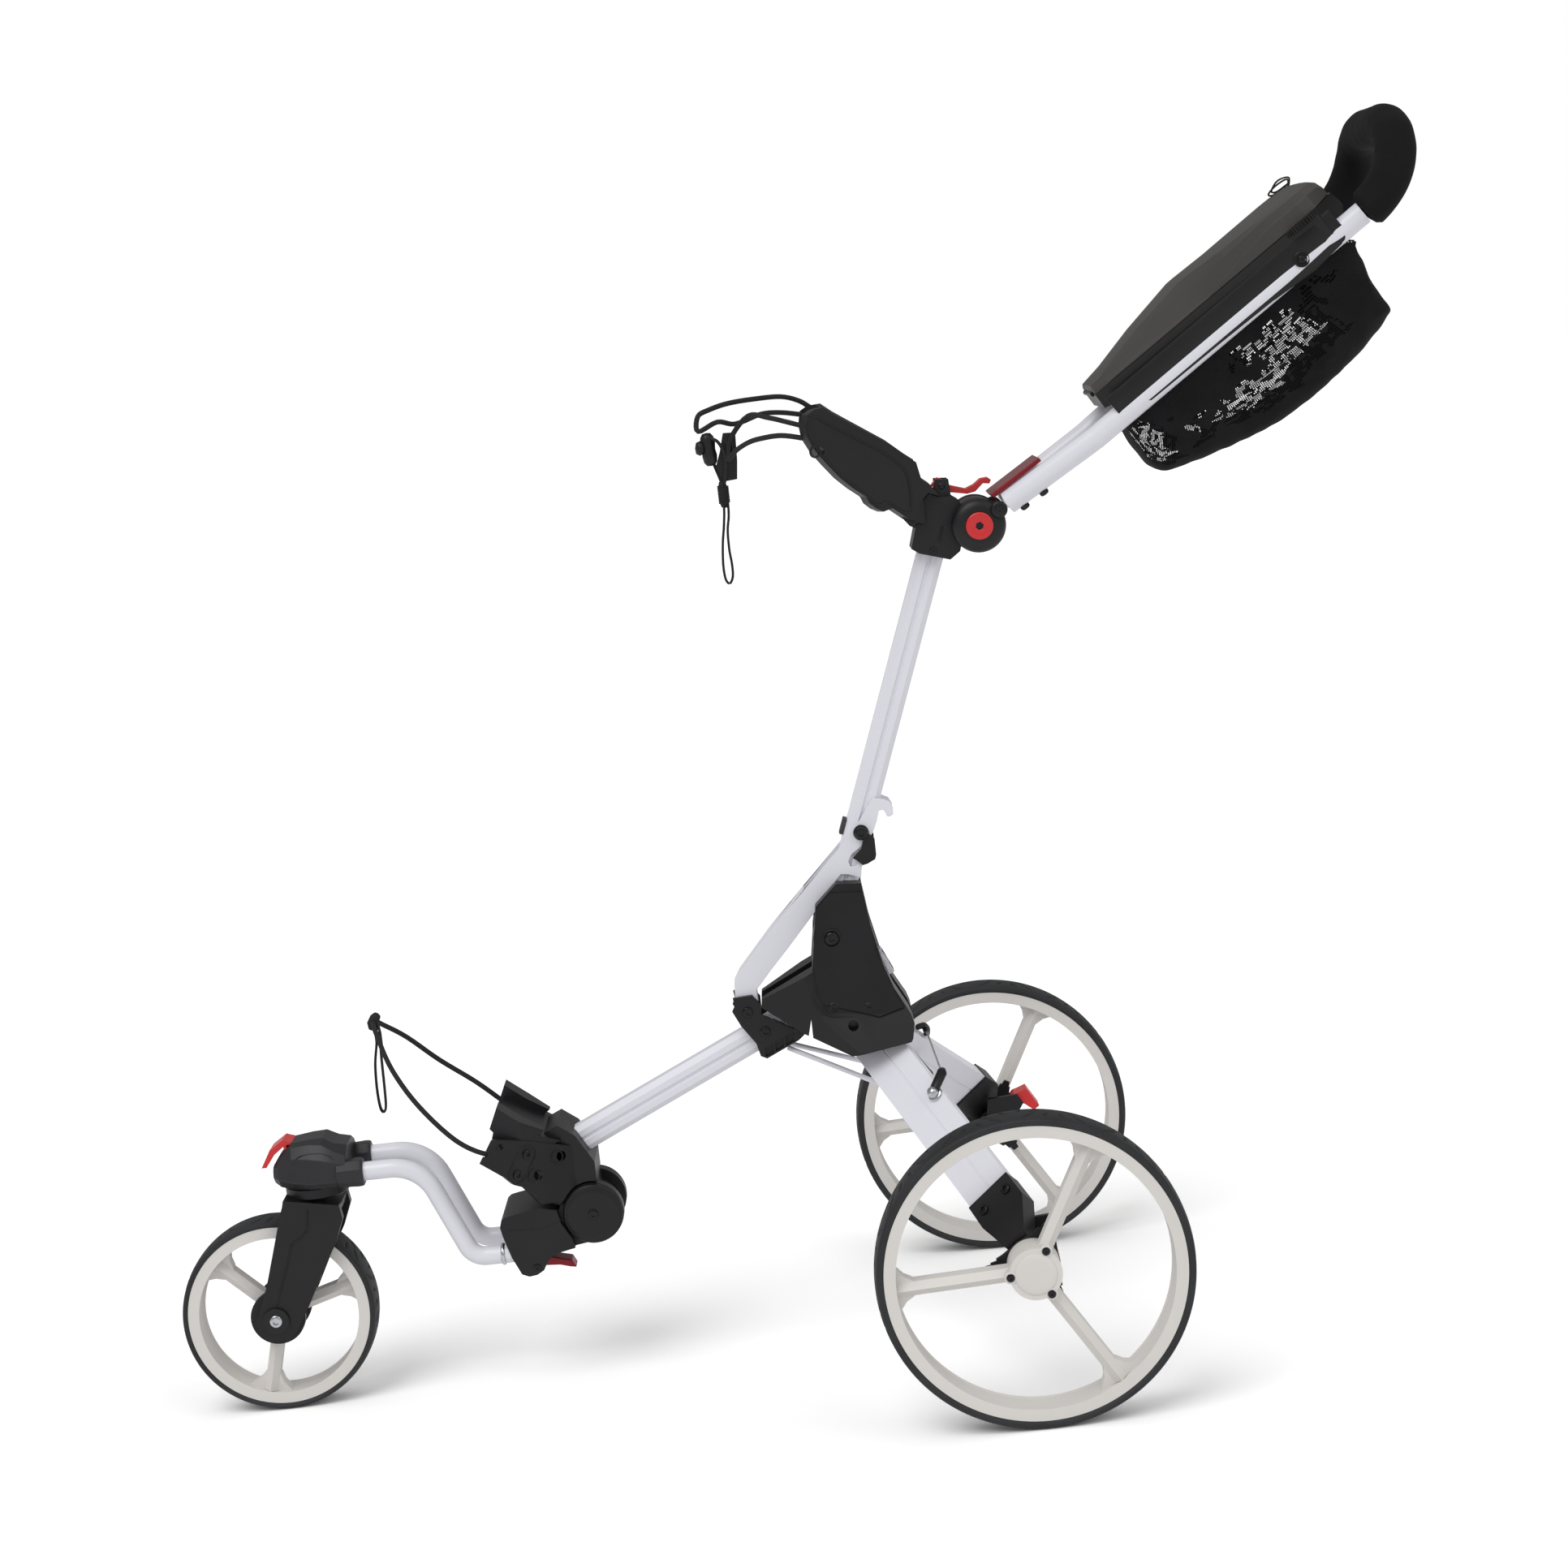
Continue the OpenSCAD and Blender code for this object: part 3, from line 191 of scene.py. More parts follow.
# Name, colour, roughness, scale and height of the grain, scale and spread of the blotches
PAINT = moulded("paint_white", (0.78, 0.775, 0.84), 0.34, 500, 0.02, 3, 0.015, coat=0.25)
RIM = moulded("plastic_offwhite", (0.72, 0.695, 0.665), 0.48, 700, 0.05, 8, 0.02)
BLACK = moulded("plastic_black", (0.008, 0.008, 0.0095), 0.42, 1400, 0.10, 12, 0.25, spec=0.4)
GREY = moulded("plastic_grey", (0.045, 0.045, 0.05), 0.48, 1200, 0.10, 5, 0.15, spec=0.4)
LID = moulded("plastic_lid", (0.055, 0.05, 0.047), 0.5, 1500, 0.18, 4, 0.18, spec=0.4)
TYRE = moulded("rubber_tyre", (0.018, 0.019, 0.021), 0.62, 900, 0.15, 20, 0.25)
FOAM = moulded("foam", (0.006, 0.006, 0.007), 0.9, 1800, 0.45, 30, 0.3, spec=0.25)
RED = moulded("plastic_red", (0.62, 0.022, 0.025), 0.35, 900, 0.04, 9, 0.08)
DARK_RED = moulded("anodised_red", (0.26, 0.012, 0.02), 0.35, 900, 0.04, 9, 0.1, metallic=0.4)
STEEL = moulded("steel", (0.62, 0.63, 0.66), 0.24, 700, 0.03, 20, 0.06, metallic=1.0)
BLACK_STEEL = moulded("steel_black", (0.03, 0.03, 0.032), 0.28, 700, 0.03, 20, 0.1, metallic=0.8)
NET = moulded("pouch_net", (0.008, 0.008, 0.009), 0.85, 1600, 0.5, 25, 0.35, spec=0.2)
THREAD = moulded("stitch_white", (0.78, 0.78, 0.78), 0.7, 1500, 0.3, 30, 0.05)
HEAD = moulded("plastic_head", (0.022, 0.022, 0.025), 0.42, 1300, 0.12, 8, 0.2, spec=0.4)
CORD = braided("cord_cover", (0.02, 0.02, 0.021), 900)
WEB = braided("webbing", (0.016, 0.016, 0.018), 500)

LOOKS = {
    "white_paint": PAINT, "rim_white": RIM, "black_plastic": BLACK, "dark_grey": GREY, "foam_black": FOAM,
    "tyre_rubber": TYRE, "signal_red": RED, "dark_red": DARK_RED, "steel": STEEL, "cord_black": CORD,
    "mesh_black": WEB,
}
SLOT_OF = {s["node"]: s["material_slot"] for s in frame["record"]["subparts"]}
OWN_LOOK = {
    "console_lid": LID,
    **dict.fromkeys(("leg_hinge_pin", "front_hinge_bolt", "frame_screws", "slider_screws", "leg_screws",
                     "strut_pivot_pin", "mast_pivot_bolt"), BLACK_STEEL),
}


def look(obj, material):
    obj.data.materials.clear()
    obj.data.materials.append(material)


for name, obj in NODES.items():
    look(obj, OWN_LOOK.get(name, LOOKS[SLOT_OF[name]]))


# ---- Shaped copies of the CAD solids ----

def rounded(obj, width, segments, angle):
    """Rounds the edges that turn by more than angle, in degrees."""
    bevel = obj.modifiers.new("bevel", "BEVEL")
    bevel.width = width
    bevel.segments = segments
    bevel.limit_method = "ANGLE"
    bevel.angle_limit = math.radians(angle)
    normals = obj.modifiers.new("normals", "WEIGHTED_NORMAL")
    normals.keep_sharp = True
    return bevel, normals


def softened(node, width):
    """A copy of a CAD node with its edges rounded, shown in its place."""
    source = NODES[node]
    mesh = source.data.copy()
    obj = placed(node + "_soft", mesh)
    b = bmesh.new()
    b.from_mesh(mesh)
    bmesh.ops.remove_doubles(b, verts=b.verts, dist=2e-6)
    bmesh.ops.dissolve_limit(b, angle_limit=math.radians(0.6), verts=b.verts, edges=b.edges)
    b.to_mesh(mesh)
    b.free()
    if mesh.has_custom_normals:
        mesh.normals_split_custom_set([(0, 0, 0)] * len(mesh.loops))
    mesh.shade_smooth()
    bevel, normals = rounded(obj, width, 3, 28)
    bevel.miter_outer = "MITER_ARC"
    normals.weight = 80
    look(obj, source.data.materials[0])
    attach(obj, BODY_OF[node])
    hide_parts(node)


# Node, and how far its edges are rounded, in metres
SOFT = {
    "lower_tube": 0.0006, "housing_left": 0.0016, "housing_right": 0.0016, "lower_bag_bracket": 0.0014,
    "slider_bracket": 0.0009, "mast_tube": 0.0006, "mast_foot": 0.001, "mast_clip": 0.0008,
    "mast_head": 0.0014, "upper_bag_bracket": 0.0018, "strut_channel": 0.0006, "mast_catch": 0.0008,
    "cam_lever": 0.0012, "handle_bar": 0.001, "console_base": 0.002, "console_button": 0.0008,
    "leg_tubes": 0.002, "leg_knuckles": 0.001, "axle_brackets": 0.0015, "brake_pedal": 0.001,
    "rear_rim_left": 0.0014, "rear_rim_right": 0.0014, "front_link": 0.0018, "release_lever": 0.001,
    "head_lever": 0.001, "fork": 0.0018, "front_rim": 0.0012,
}
for node, width in SOFT.items():
    softened(node, width)


# ---- Mesh helpers: each shape is (points, faces), in metres ----

def row(p):
    """A point [ahead of the rear axle, left, up] in millimetres, in the row frame."""
    return Vector((p[0] / 1000 + REAR_X, p[1] / 1000, p[2] / 1000))


def rows(points):
    return [row(p) for p in points]


def smooth(points, steps):
    """A Catmull-Rom curve through the points."""
    pts = [Vector(p) for p in points]
    pts = [2 * pts[0] - pts[1], *pts, 2 * pts[-1] - pts[-2]]
    out = []
    for a, b, c, d in zip(pts, pts[1:], pts[2:], pts[3:]):
        for k in range(steps):
            t = k / steps
            out.append(0.5 * (2 * b + (c - a) * t + (2 * a - 5 * b + 4 * c - d) * t * t
                              + (3 * b - a - 3 * c + d) * t ** 3))
    out.append(pts[-2])
    return out


def skin(count, n, closed=False):
    """Faces between count rings of n points; the ends are capped unless closed joins them."""
    faces = []
    for j in range(count if closed else count - 1):
        a, b = j * n, (j + 1) % count * n
        faces += [(a + k, a + (k + 1) % n, b + (k + 1) % n, b + k) for k in range(n)]
    if not closed:
        faces += [tuple(range(n))[::-1], tuple((count - 1) * n + k for k in range(n))]
    return faces


# A domed end: share of the dome's depth, share of the radius
END_CURVE = ((0.0, 0.02), (0.1, 0.43), (0.4, 0.8), (1.0, 1.0))


def sweep(line, radius, sides=16, flat=1.0, side=None, dome=0.0, closed=False):
    """A tube along a line; flat squeezes it across side, dome rounds its ends by that share of the radius."""
    line = [Vector(p) for p in line]
    n = len(line)
    radii = list(radius) if hasattr(radius, "__len__") else [radius] * n
    dirs = []
    for i in range(n):
        a, b = (line[i - 1], line[(i + 1) % n]) if closed else (line[max(i - 1, 0)], line[min(i + 1, n - 1)])
        dirs.append((b - a).normalized())
    stations = list(zip(line, radii, dirs))
    if dome and not closed:
        (p0, r0, d0), (p1, r1, d1) = stations[0], stations[-1]
        head = [(p0 + d0 * r0 * dome * t, r0 * w, d0) for t, w in END_CURVE]
        tail = [(p1 - d1 * r1 * dome * t, r1 * w, d1) for t, w in END_CURVE[::-1]]
        middle = [(p, r, d) for p, r, d in stations
                  if (p - p0).length > r0 * dome * 1.05 and (p - p1).length > r1 * dome * 1.05]
        stations = head + middle + tail
    u = Vector((0.31, 0.52, 0.79))
    verts = []
    for p, r, d in stations:
        base = Vector(side) if side else u
        u = (base - d * base.dot(d)).normalized()
        w = d.cross(u)
        for k in range(sides):
            a = 2 * math.pi * k / sides
            verts.append(p + r * (flat * math.cos(a) * u + math.sin(a) * w))
    return verts, skin(len(stations), sides, closed)


def frame_on(axis):
    """Two directions square to an axis, then the axis."""
    axis = Vector(axis).normalized()
    u = axis.orthogonal().normalized()
    return u, axis.cross(u), axis


def turned(centre, axis, profile, segments=48, hexes=(), closed=False, start=0.0):
    """Revolves [radius, height] points in millimetres about an axis; rings in `hexes` are hexagons."""
    u, v, w = frame_on(axis)
    verts = []
    for j, (r, h) in enumerate(profile):
        for k in range(segments):
            a = start + 2 * math.pi * k / segments
            q = r
            if j in hexes:
                q = r * math.cos(math.pi / 6) / math.cos((a % (math.pi / 3)) - math.pi / 6)
            verts.append(centre + (q * (math.cos(a) * u + math.sin(a) * v) + h * w) / 1000)
    return verts, skin(len(profile), segments, closed)


def screw(centre, axis, r, h, socket=0.45):
    """A button-head screw with a hexagon socket, standing on a surface."""
    s = r * socket
    profile = [(r, -0.6), (r, h * 0.45), (r * 0.95, h * 0.7), (r * 0.8, h * 0.9), (r * 0.6, h),
               (s * 1.12, h), (s, h * 0.9), (s * 0.96, h * 0.25), (0.01, h * 0.2)]
    return turned(centre, axis, profile, 36, hexes=(6, 7))


def slab(outline, y0, y1, place=lambda *p: row(p)):
    """A side-view outline between two distances from the mid-plane; place moves its points."""
    n = len(outline)
    verts = [place(x, y, z) for y in (y0, y1) for x, z in outline]
    faces = [tuple(range(n)), tuple(range(2 * n - 1, n - 1, -1))]
    faces += [(i, i + n, (i + 1) % n + n, (i + 1) % n) for i in range(n)]
    return verts, faces


def loft(rings):
    """Joins rings of points in metres, with both ends capped."""
    return [v for r in rings for v in r], skin(len(rings), len(rings[0]))


def mirrored(shape):
    """The shape on the cart's other side, its faces turned outwards."""
    verts, faces = shape
    return [Vector((v[0], -v[1], v[2])) for v in verts], [tuple(f)[::-1] for f in faces]


def both(*shapes):
    """The shapes, each with its mirror image."""
    return [x for shape in shapes for x in (shape, mirrored(shape))]


def piece(name, shapes, material, node, replaces=False, bevel=0.0, segments=2, sharp=32):
    """Joins shapes into one object that rides with a CAD node, or replaces it."""
    verts, faces = [], []
    for v, f in shapes:
        base = len(verts)
        verts += [tuple(p) for p in v]
        faces += [tuple(i + base for i in face) for face in f]
    mesh = bpy.data.meshes.new(name)
    mesh.from_pydata(verts, [], faces)
    b = bmesh.new()
    b.from_mesh(mesh)
    bmesh.ops.remove_doubles(b, verts=b.verts, dist=1e-6)
    bmesh.ops.recalc_face_normals(b, faces=b.faces)
    b.to_mesh(mesh)
    b.free()
    mesh.shade_smooth()
    mesh.set_sharp_from_angle(angle=math.radians(sharp))
    obj = placed(name, mesh)
    if bevel:
        rounded(obj, bevel, segments, sharp)
    look(obj, material)
    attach(obj, BODY_OF[node])
    if replaces:
        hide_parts(node)
    return obj


# ---- Wheels ----

TREAD_HALF, TREAD_DEEP = 16.5, 1.4
HUB_BOLTS_R, SPOKE_LEAN = 23, -2
# Degrees from the spoke and radius, round one third of the inner ring
FIN = [(-58, 25), (-40, 25.5), (-24, 29), (-15, 34), (-12, 33), (-8, 39), (-6, 38), (-4, 43.5), (4, 43.5),
       (6, 38), (8, 39), (12, 33), (15, 34), (24, 29), (40, 25.5)]


def tread_depth(u, v, pitch):
    """Depth, 0 to 1, of a leaf-shaped chevron pattern at u round the tyre and v across it, in millimetres."""
    depth = np.zeros_like(u)
    for k in range(4):
        u0, u1 = -0.34 * pitch + 0.16 * pitch * k, -0.48 * pitch + 0.25 * pitch * k
        for shift in (0, pitch, -pitch):
            du, dv = u1 - u0, 12.0
            long = math.hypot(du, dv)
            t = np.clip(((u + shift - u0) * du + (v - 2.5) * dv) / long ** 2, 0, 1)
            off = np.hypot(u + shift - u0 - t * du, v - 2.5 - t * dv)
            half = 0.5 + 1.5 * np.sin(np.pi * np.clip(t, 0.02, 0.98))
            depth = np.maximum(depth, np.clip(1 - (off / half) ** 2, 0, 1))
    return depth


def tyre(name, node, ahead, y, r, seat, motifs, around):
    """Rubber ring with a smooth sidewall and a shallow chevron tread, its two halves staggered."""
    wall = [(seat, 17.4), (seat + 0.5, 18.2), ((seat + r) / 2 - 0.5, 19.5), ((seat + r) / 2 + 0.8, 19.7),
            (r - 2.1, 18.9), (r - 1.3, 17.9)]
    angle = 2 * math.pi * np.arange(around) / around
    rings = [(np.full(around, q), -w) for q, w in wall]
    pitch = 2 * math.pi * r / motifs
    for v in np.linspace(-TREAD_HALF, TREAD_HALF, 31):
        u = angle * r % pitch - pitch / 2
        crown = r - 0.05 - 1.2 * (abs(v) / TREAD_HALF) ** 3
        if v < 0:
            u = (u + pitch) % pitch - pitch / 2
        rings.append((crown - TREAD_DEEP * tread_depth(u, np.full(around, abs(v)), pitch), v))
    rings += [(np.full(around, q), w) for q, w in wall[::-1]]
    c, s = np.cos(angle), np.sin(angle)
    verts = [row((ahead + q[k] * c[k], y + w, r + q[k] * s[k])) for q, w in rings for k in range(around)]
    piece(name, [(verts, skin(len(rings), around, True))], TYRE, node, True, sharp=60)


def round_hub(radius, turn):
    """Side-view point round the rear hub, turn in degrees from the first spoke."""
    a = math.radians(turn + SPOKE_LEAN)
    return radius * math.cos(a), REAR_R + radius * math.sin(a)


def wheels():
    """Tyres, hub discs, hub bolts and the rings that the brake engages."""
    for side, word in ((1, "left"), (-1, "right")):
        tyre("tyre_rear_" + word, "rear_tyre_" + word, 0, side * HALF_TRACK, REAR_R, REAR_RIM_R, 12, 600)
        out = (0, side, 0)
        rim = "rear_rim_" + word
        cover = turned(row((0, side * (HALF_TRACK + 17), REAR_R)), out,
                       [(0.01, 1.5), (14, 1.5), (17.6, 1.3), (18.6, 0.9), (19, 0.2), (19, -0.5)], 64)
        piece("hub_disc_" + word, [cover], RIM, "hub_cover_" + word, True)
        bolts, rings = [], []
        for k in range(3):
            x, z = round_hub(HUB_BOLTS_R, 120 * k)
            spot = row((x, side * (HALF_TRACK + 16.2), z))
            bolts.append(screw(spot + Vector((0, side * 0.0009, 0)), out, 3.5, 1.3, 0.4))
            rings.append(turned(spot, out, [
                (5.4, -0.6), (5.4, 1.2), (5.0, 1.7), (4.3, 1.7), (4.0, 1.2), (4.0, -0.6)], 36, closed=True))
        piece("hub_bolts_" + word, bolts, BLACK_STEEL, rim)
        piece("hub_bolt_rings_" + word, rings, RIM, rim)
        # Ring on the inner side with a toothed fin behind each spoke, which the brake engages
        fins = [round_hub(r, 120 * k + turn) for k in range(3) for turn, r in FIN]
        inner = side * (HALF_TRACK - 16)
        piece("hub_fins_" + word, [slab(fins, inner, inner - side * 3.2)], BLACK, rim, bevel=0.0005)
    tyre("tyre_front", "front_tyre", FRONT_X, 0, FRONT_R, FRONT_RIM_R, 9, 420)
    hubs = [turned(row((FRONT_X, side * 17, FRONT_R)), (0, side, 0), [
        (0.01, 5.6), (16, 5.6), (23, 5.2), (26, 4.2), (27, 2.6), (27, 0.6), (26, -0.6), (18, -0.6)], 64)
            for side in (1, -1)]
    piece("front_hub_discs", hubs, BLACK, "front_rim")


# ---- Cords, straps and their fittings ----

CORD_R = 0.0025  # metres
STRAP_HALF, STRAP_THICK = 4.5, 2.4


def cord_piece(name, node, points):
    """A shock cord along its route, in place of the CAD cord."""
    line = smooth(rows(points), 5)
    obj = piece(name, [sweep(line, CORD_R, 10)], CORD, node, True, sharp=80)
    return obj


def loop_strap(points):
    """Flat webbing that follows side-view points."""
    line = smooth([row((x, 0, z)) for x, z in points], 6)
    return sweep(line, STRAP_HALF / 1000, 12, flat=STRAP_THICK / STRAP_HALF / 2, side=(1, 0, 0.01))


def whipping(x, rx, ry, top, turns):
    """Thread wound round a strap's end, ten points a turn."""
    line = [row((x + rx * math.cos(k * math.pi / 5), ry * math.sin(k * math.pi / 5), top - 0.16 * k))
            for k in range(10 * turns + 1)]
    return sweep(line, 0.0008, 6)


def cords():
    """Shock cords with their pull straps."""
    lower = piece("strap_lower", [
        loop_strap([(603, 380), (601, 366), (602.5, 345), (603.5, 310), (604.5, 292), (607, 286.5), (610, 291),
                    (611, 310), (609.5, 335), (605.5, 356), (603.5, 374)]),
        sweep(rows([(600, 0, 385), (604, 0, 381), (607.5, 0, 376), (608, 0, 369)]),
              [0.0042, 0.0052, 0.0050, 0.0038], 16, dome=0.6),
        whipping(603, 3.1, 3.4, 367, 8),
    ], WEB, "lower_pull_strap", True, sharp=60)
    upper = piece("strap_upper", [
        loop_strap([
            (206, 862), (203.5, 846), (204, 832), (206.5, 818), (207, 800), (206, 786), (206.5, 774),
            (210, 767.5), (213.6, 772), (214.4, 786), (212.6, 806), (209.5, 824), (207.5, 842), (208.5, 862)]),
        sweep(rows([(207, 0, 866), (206.5, 0, 858), (206.5, 0, 846), (206.5, 0, 840)]),
              [0.003, 0.0052, 0.0050, 0.0036], 16, dome=0.4),
        whipping(206.5, 4.9, 4.9, 861, 10),
    ], WEB, "upper_pull_strap", True, sharp=60)

    # Hook plate that the near cord catches on, ball lock in front of it, short cord that hangs the strap
    plate = slab([(201, 911), (189, 910.5), (190, 884), (192, 866), (206, 865), (211, 880), (206, 893)], -6, 0)
    lips = [sweep(rows([(x, -3, 909), (x - 1, 1.5, 896), (x, -2, 884)]), 0.0014, 8, dome=0.6)
            for x in (194, 199)]
    hook = piece("cord_hook", [plate] + lips, BLACK, "cord_hooks", True, bevel=0.0012)
    lock = piece("cord_lock", [
        turned(row((216, 0, 897)), (0.05, 0, 1), [
            (0.01, -16), (4, -15.4), (6.4, -12), (7.2, -6), (6.4, 0), (7.2, 6), (6.4, 12), (4, 15.4),
            (0.01, 16)], 32),
        turned(row((224, 2, 899)), (0.9, 0.2, 0.1), [
            (0.01, -5), (4.4, -4.2), (7.2, 0), (5.6, 3.6), (0.01, 5)], 32),
    ], BLACK, "cord_hooks", sharp=70)
    line = smooth(rows([(213, 5, 908), (206, 8, 903), (201, 8, 890), (202, 5, 875), (205.5, 1, 862),
                        (209.5, -3, 872), (214, -5, 888), (216, -4, 902), (213, 2, 910)]), 6)
    hanger = piece("strap_hanger", [sweep(line, 0.0016, 10)], CORD, "cord_hooks", sharp=80)

    low = cord_piece("cord_lower", "lower_shock_cord", LOWER_CORD)
    near = cord_piece("cord_upper_near", "upper_cord_near", UPPER_NEAR)
    far = cord_piece("cord_upper_far", "upper_cord_far", UPPER_FAR)
    for o in (low, lower):
        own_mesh(o)
    for o in (near, far, upper, hook, lock, hanger):
        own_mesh(o)


# ---- Handle ----

HANDLE_AT, HANDLE_BEND, HANDLE_END = (-60.9, 817.4), (-150, 872), (-404, 1050)
HANDLE_HALF0, HANDLE_HALF1 = 35, 107
TUBE_R, GRIP_R = 0.011, 0.019  # metres
CONSOLE_AT, CONSOLE_ANGLE = (-150, 905), math.radians(144.9)
UP_HANDLE = (math.cos(CONSOLE_ANGLE), math.sin(CONSOLE_ANGLE))
OUT_OF_LID = (UP_HANDLE[1], -UP_HANDLE[0])


def handle_half(x):
    """Half the distance between the handle's tubes at x."""
    t = (HANDLE_AT[0] - x) / (HANDLE_AT[0] - HANDLE_END[0])
    return HANDLE_HALF0 + (HANDLE_HALF1 - HANDLE_HALF0) * t


def on_console(h, w, n):
    """A point of the console: h up the handle from its tip, w to the left, n out of the lid."""
    x, z = (CONSOLE_AT[i] + h * UP_HANDLE[i] + n * OUT_OF_LID[i] for i in (0, 1))
    return row((x, w, z))


def console_half(h):
    """Half the console's width, h up the handle."""
    return float(np.interp(h, (-3, 26, 258, 286), (48, 62, 112, 80)))


def handle():
    """Painted tubes, foam grip, and the bolts under the tubes."""
    route = (HANDLE_AT, (-105, 844.5), (-146, 869.3), (-160, 879), (-280, 963.2), HANDLE_END)
    tube = [row((x, handle_half(x), z)) for x, z in route]
    tube = sweep(smooth(tube, 3), TUBE_R, 40)
    piece("handle_tubes_smooth", both(tube), PAINT, "handle_tubes", True, sharp=50)

    half = [(-403.5, 106.6, 1049.6), (-416, 108, 1060), (-428, 107, 1074), (-436, 104, 1090), (-440, 96, 1106),
            (-441, 82, 1119), (-441, 64, 1126), (-441, 44, 1129), (-441, 22, 1129)]
    route = half + [(-441, 0, 1129)] + [(x, -y, z) for x, y, z in half[::-1]]
    line = smooth(rows(route), 6)
    radii = [GRIP_R + (0.00012 * math.sin(i * 0.9) if 20 < i < len(line) - 20 else 0)
             for i in range(len(line))]
    grip = piece("grip_foam", [sweep(line, radii, 40, dome=0.35)], FOAM, "foam_grip", True, sharp=75)

    # Two bolts under each tube, square to it
    slope = (Vector(HANDLE_BEND) - Vector(HANDLE_AT)).normalized()
    below = Vector((-slope.y, 0, slope.x))
    heads = []
    for d in (11, 33):
        x, z = HANDLE_AT[0] + slope.x * d, HANDLE_AT[1] + slope.y * d
        for s in (1, -1):
            heads.append(screw(row((x, s * handle_half(x), z)) + below * 0.0108, below, 4.6, 4.2, 0.4))
    piece("handle_bolts", heads, BLACK_STEEL, "handle_tubes")


def top_joint():
    """Round lugs of the handle's joint with their red caps."""
    discs, lobes, caps, sockets, screws = [], [], [], [], []
    x, z = -31.5, 799.4
    lean = math.radians(146.5)
    lobe_x, lobe_z = x + 24 * math.cos(lean), z + 24 * math.sin(lean)
    for s in (1, -1):
        out = (0, s, 0)
        discs.append(turned(row((x, s * 24.3, z)), out, [
            (5.2, 0), (25.2, 0), (26, 0.8), (26, 10), (25.4, 13.6), (23.4, 16.6), (20, 18.6), (16.4, 19.5),
            (13.4, 19.7), (13.4, 18.9), (5.2, 18.9)], 72, closed=True))
        lobes.append(turned(row((lobe_x, s * 34, lobe_z)), out,
                            [(0.01, 0), (8, 0), (8, 10.4), (7.4, 11.4), (6, 12), (0.01, 12)], 40))
        screws.append(screw(row((lobe_x, s * 45.8, lobe_z)), out, 3.6, 1.2, 0.5))
        cap = row((x, s * 44, z))
        caps.append(turned(cap, out, [
            (13, -0.8), (13, 1.9), (12.4, 2.6), (11.2, 2.9), (6.6, 2.9), (6.0, 2.5), (4.4, 2.5), (4.0, 2.0),
            (3.9, -0.5), (3.9, -0.8)], 60, hexes=(7, 8, 9), closed=True))
        sockets.append(turned(cap, out, [(0.01, 0.2), (3.9, 0.2), (3.9, -0.5)], 30))
    piece("joint_discs", discs + lobes, BLACK, "handle_lugs", True, sharp=40)
    piece("joint_caps", caps, RED, "red_caps", True, sharp=40)
    piece("joint_sockets", sockets + screws, BLACK_STEEL, "handle_lugs")


# Stations of the lid up the handle: [h, top, half of the flat top, shoulder half, shoulder height]
LID_STATIONS = [
    (4.6, 7.4, 30, 46, 5.6), (7, 12, 31, 49.5, 7.2), (21, 14.2, 33, 57, 7.6), (73, 24.3, 38, 70, 7.4),
    (130, 31.9, 44, 82.6, 6.6), (138, 31.7, 46, 84.2, 6.2), (176, 29.2, 56, 92, 12.5),
    (216, 27.9, 66, 100.4, 18.2), (250, 26.8, 72, 107, 18.6), (262, 26.3, 72, 105, 18.2),
    (276, 25.4, 60, 90, 16.8), (281, 21, 56, 85, 12.5),
]
# Lower edge of the side walls: up the handle, out of the lid
WALL_DEPTHS = [(8, -24), (14, -30), (40, -33), (120, -34), (200, -36), (248, -37), (262, -35), (268, -30)]
DIAL_TEETH = 40
# Share of the dial's radius, height
DIAL_STEPS = [(0.93, -4.4), (1.0, -3.8), (1.0, 1.2), (0.93, 1.8), (0.78, 2.0), (0.74, 1.3)]


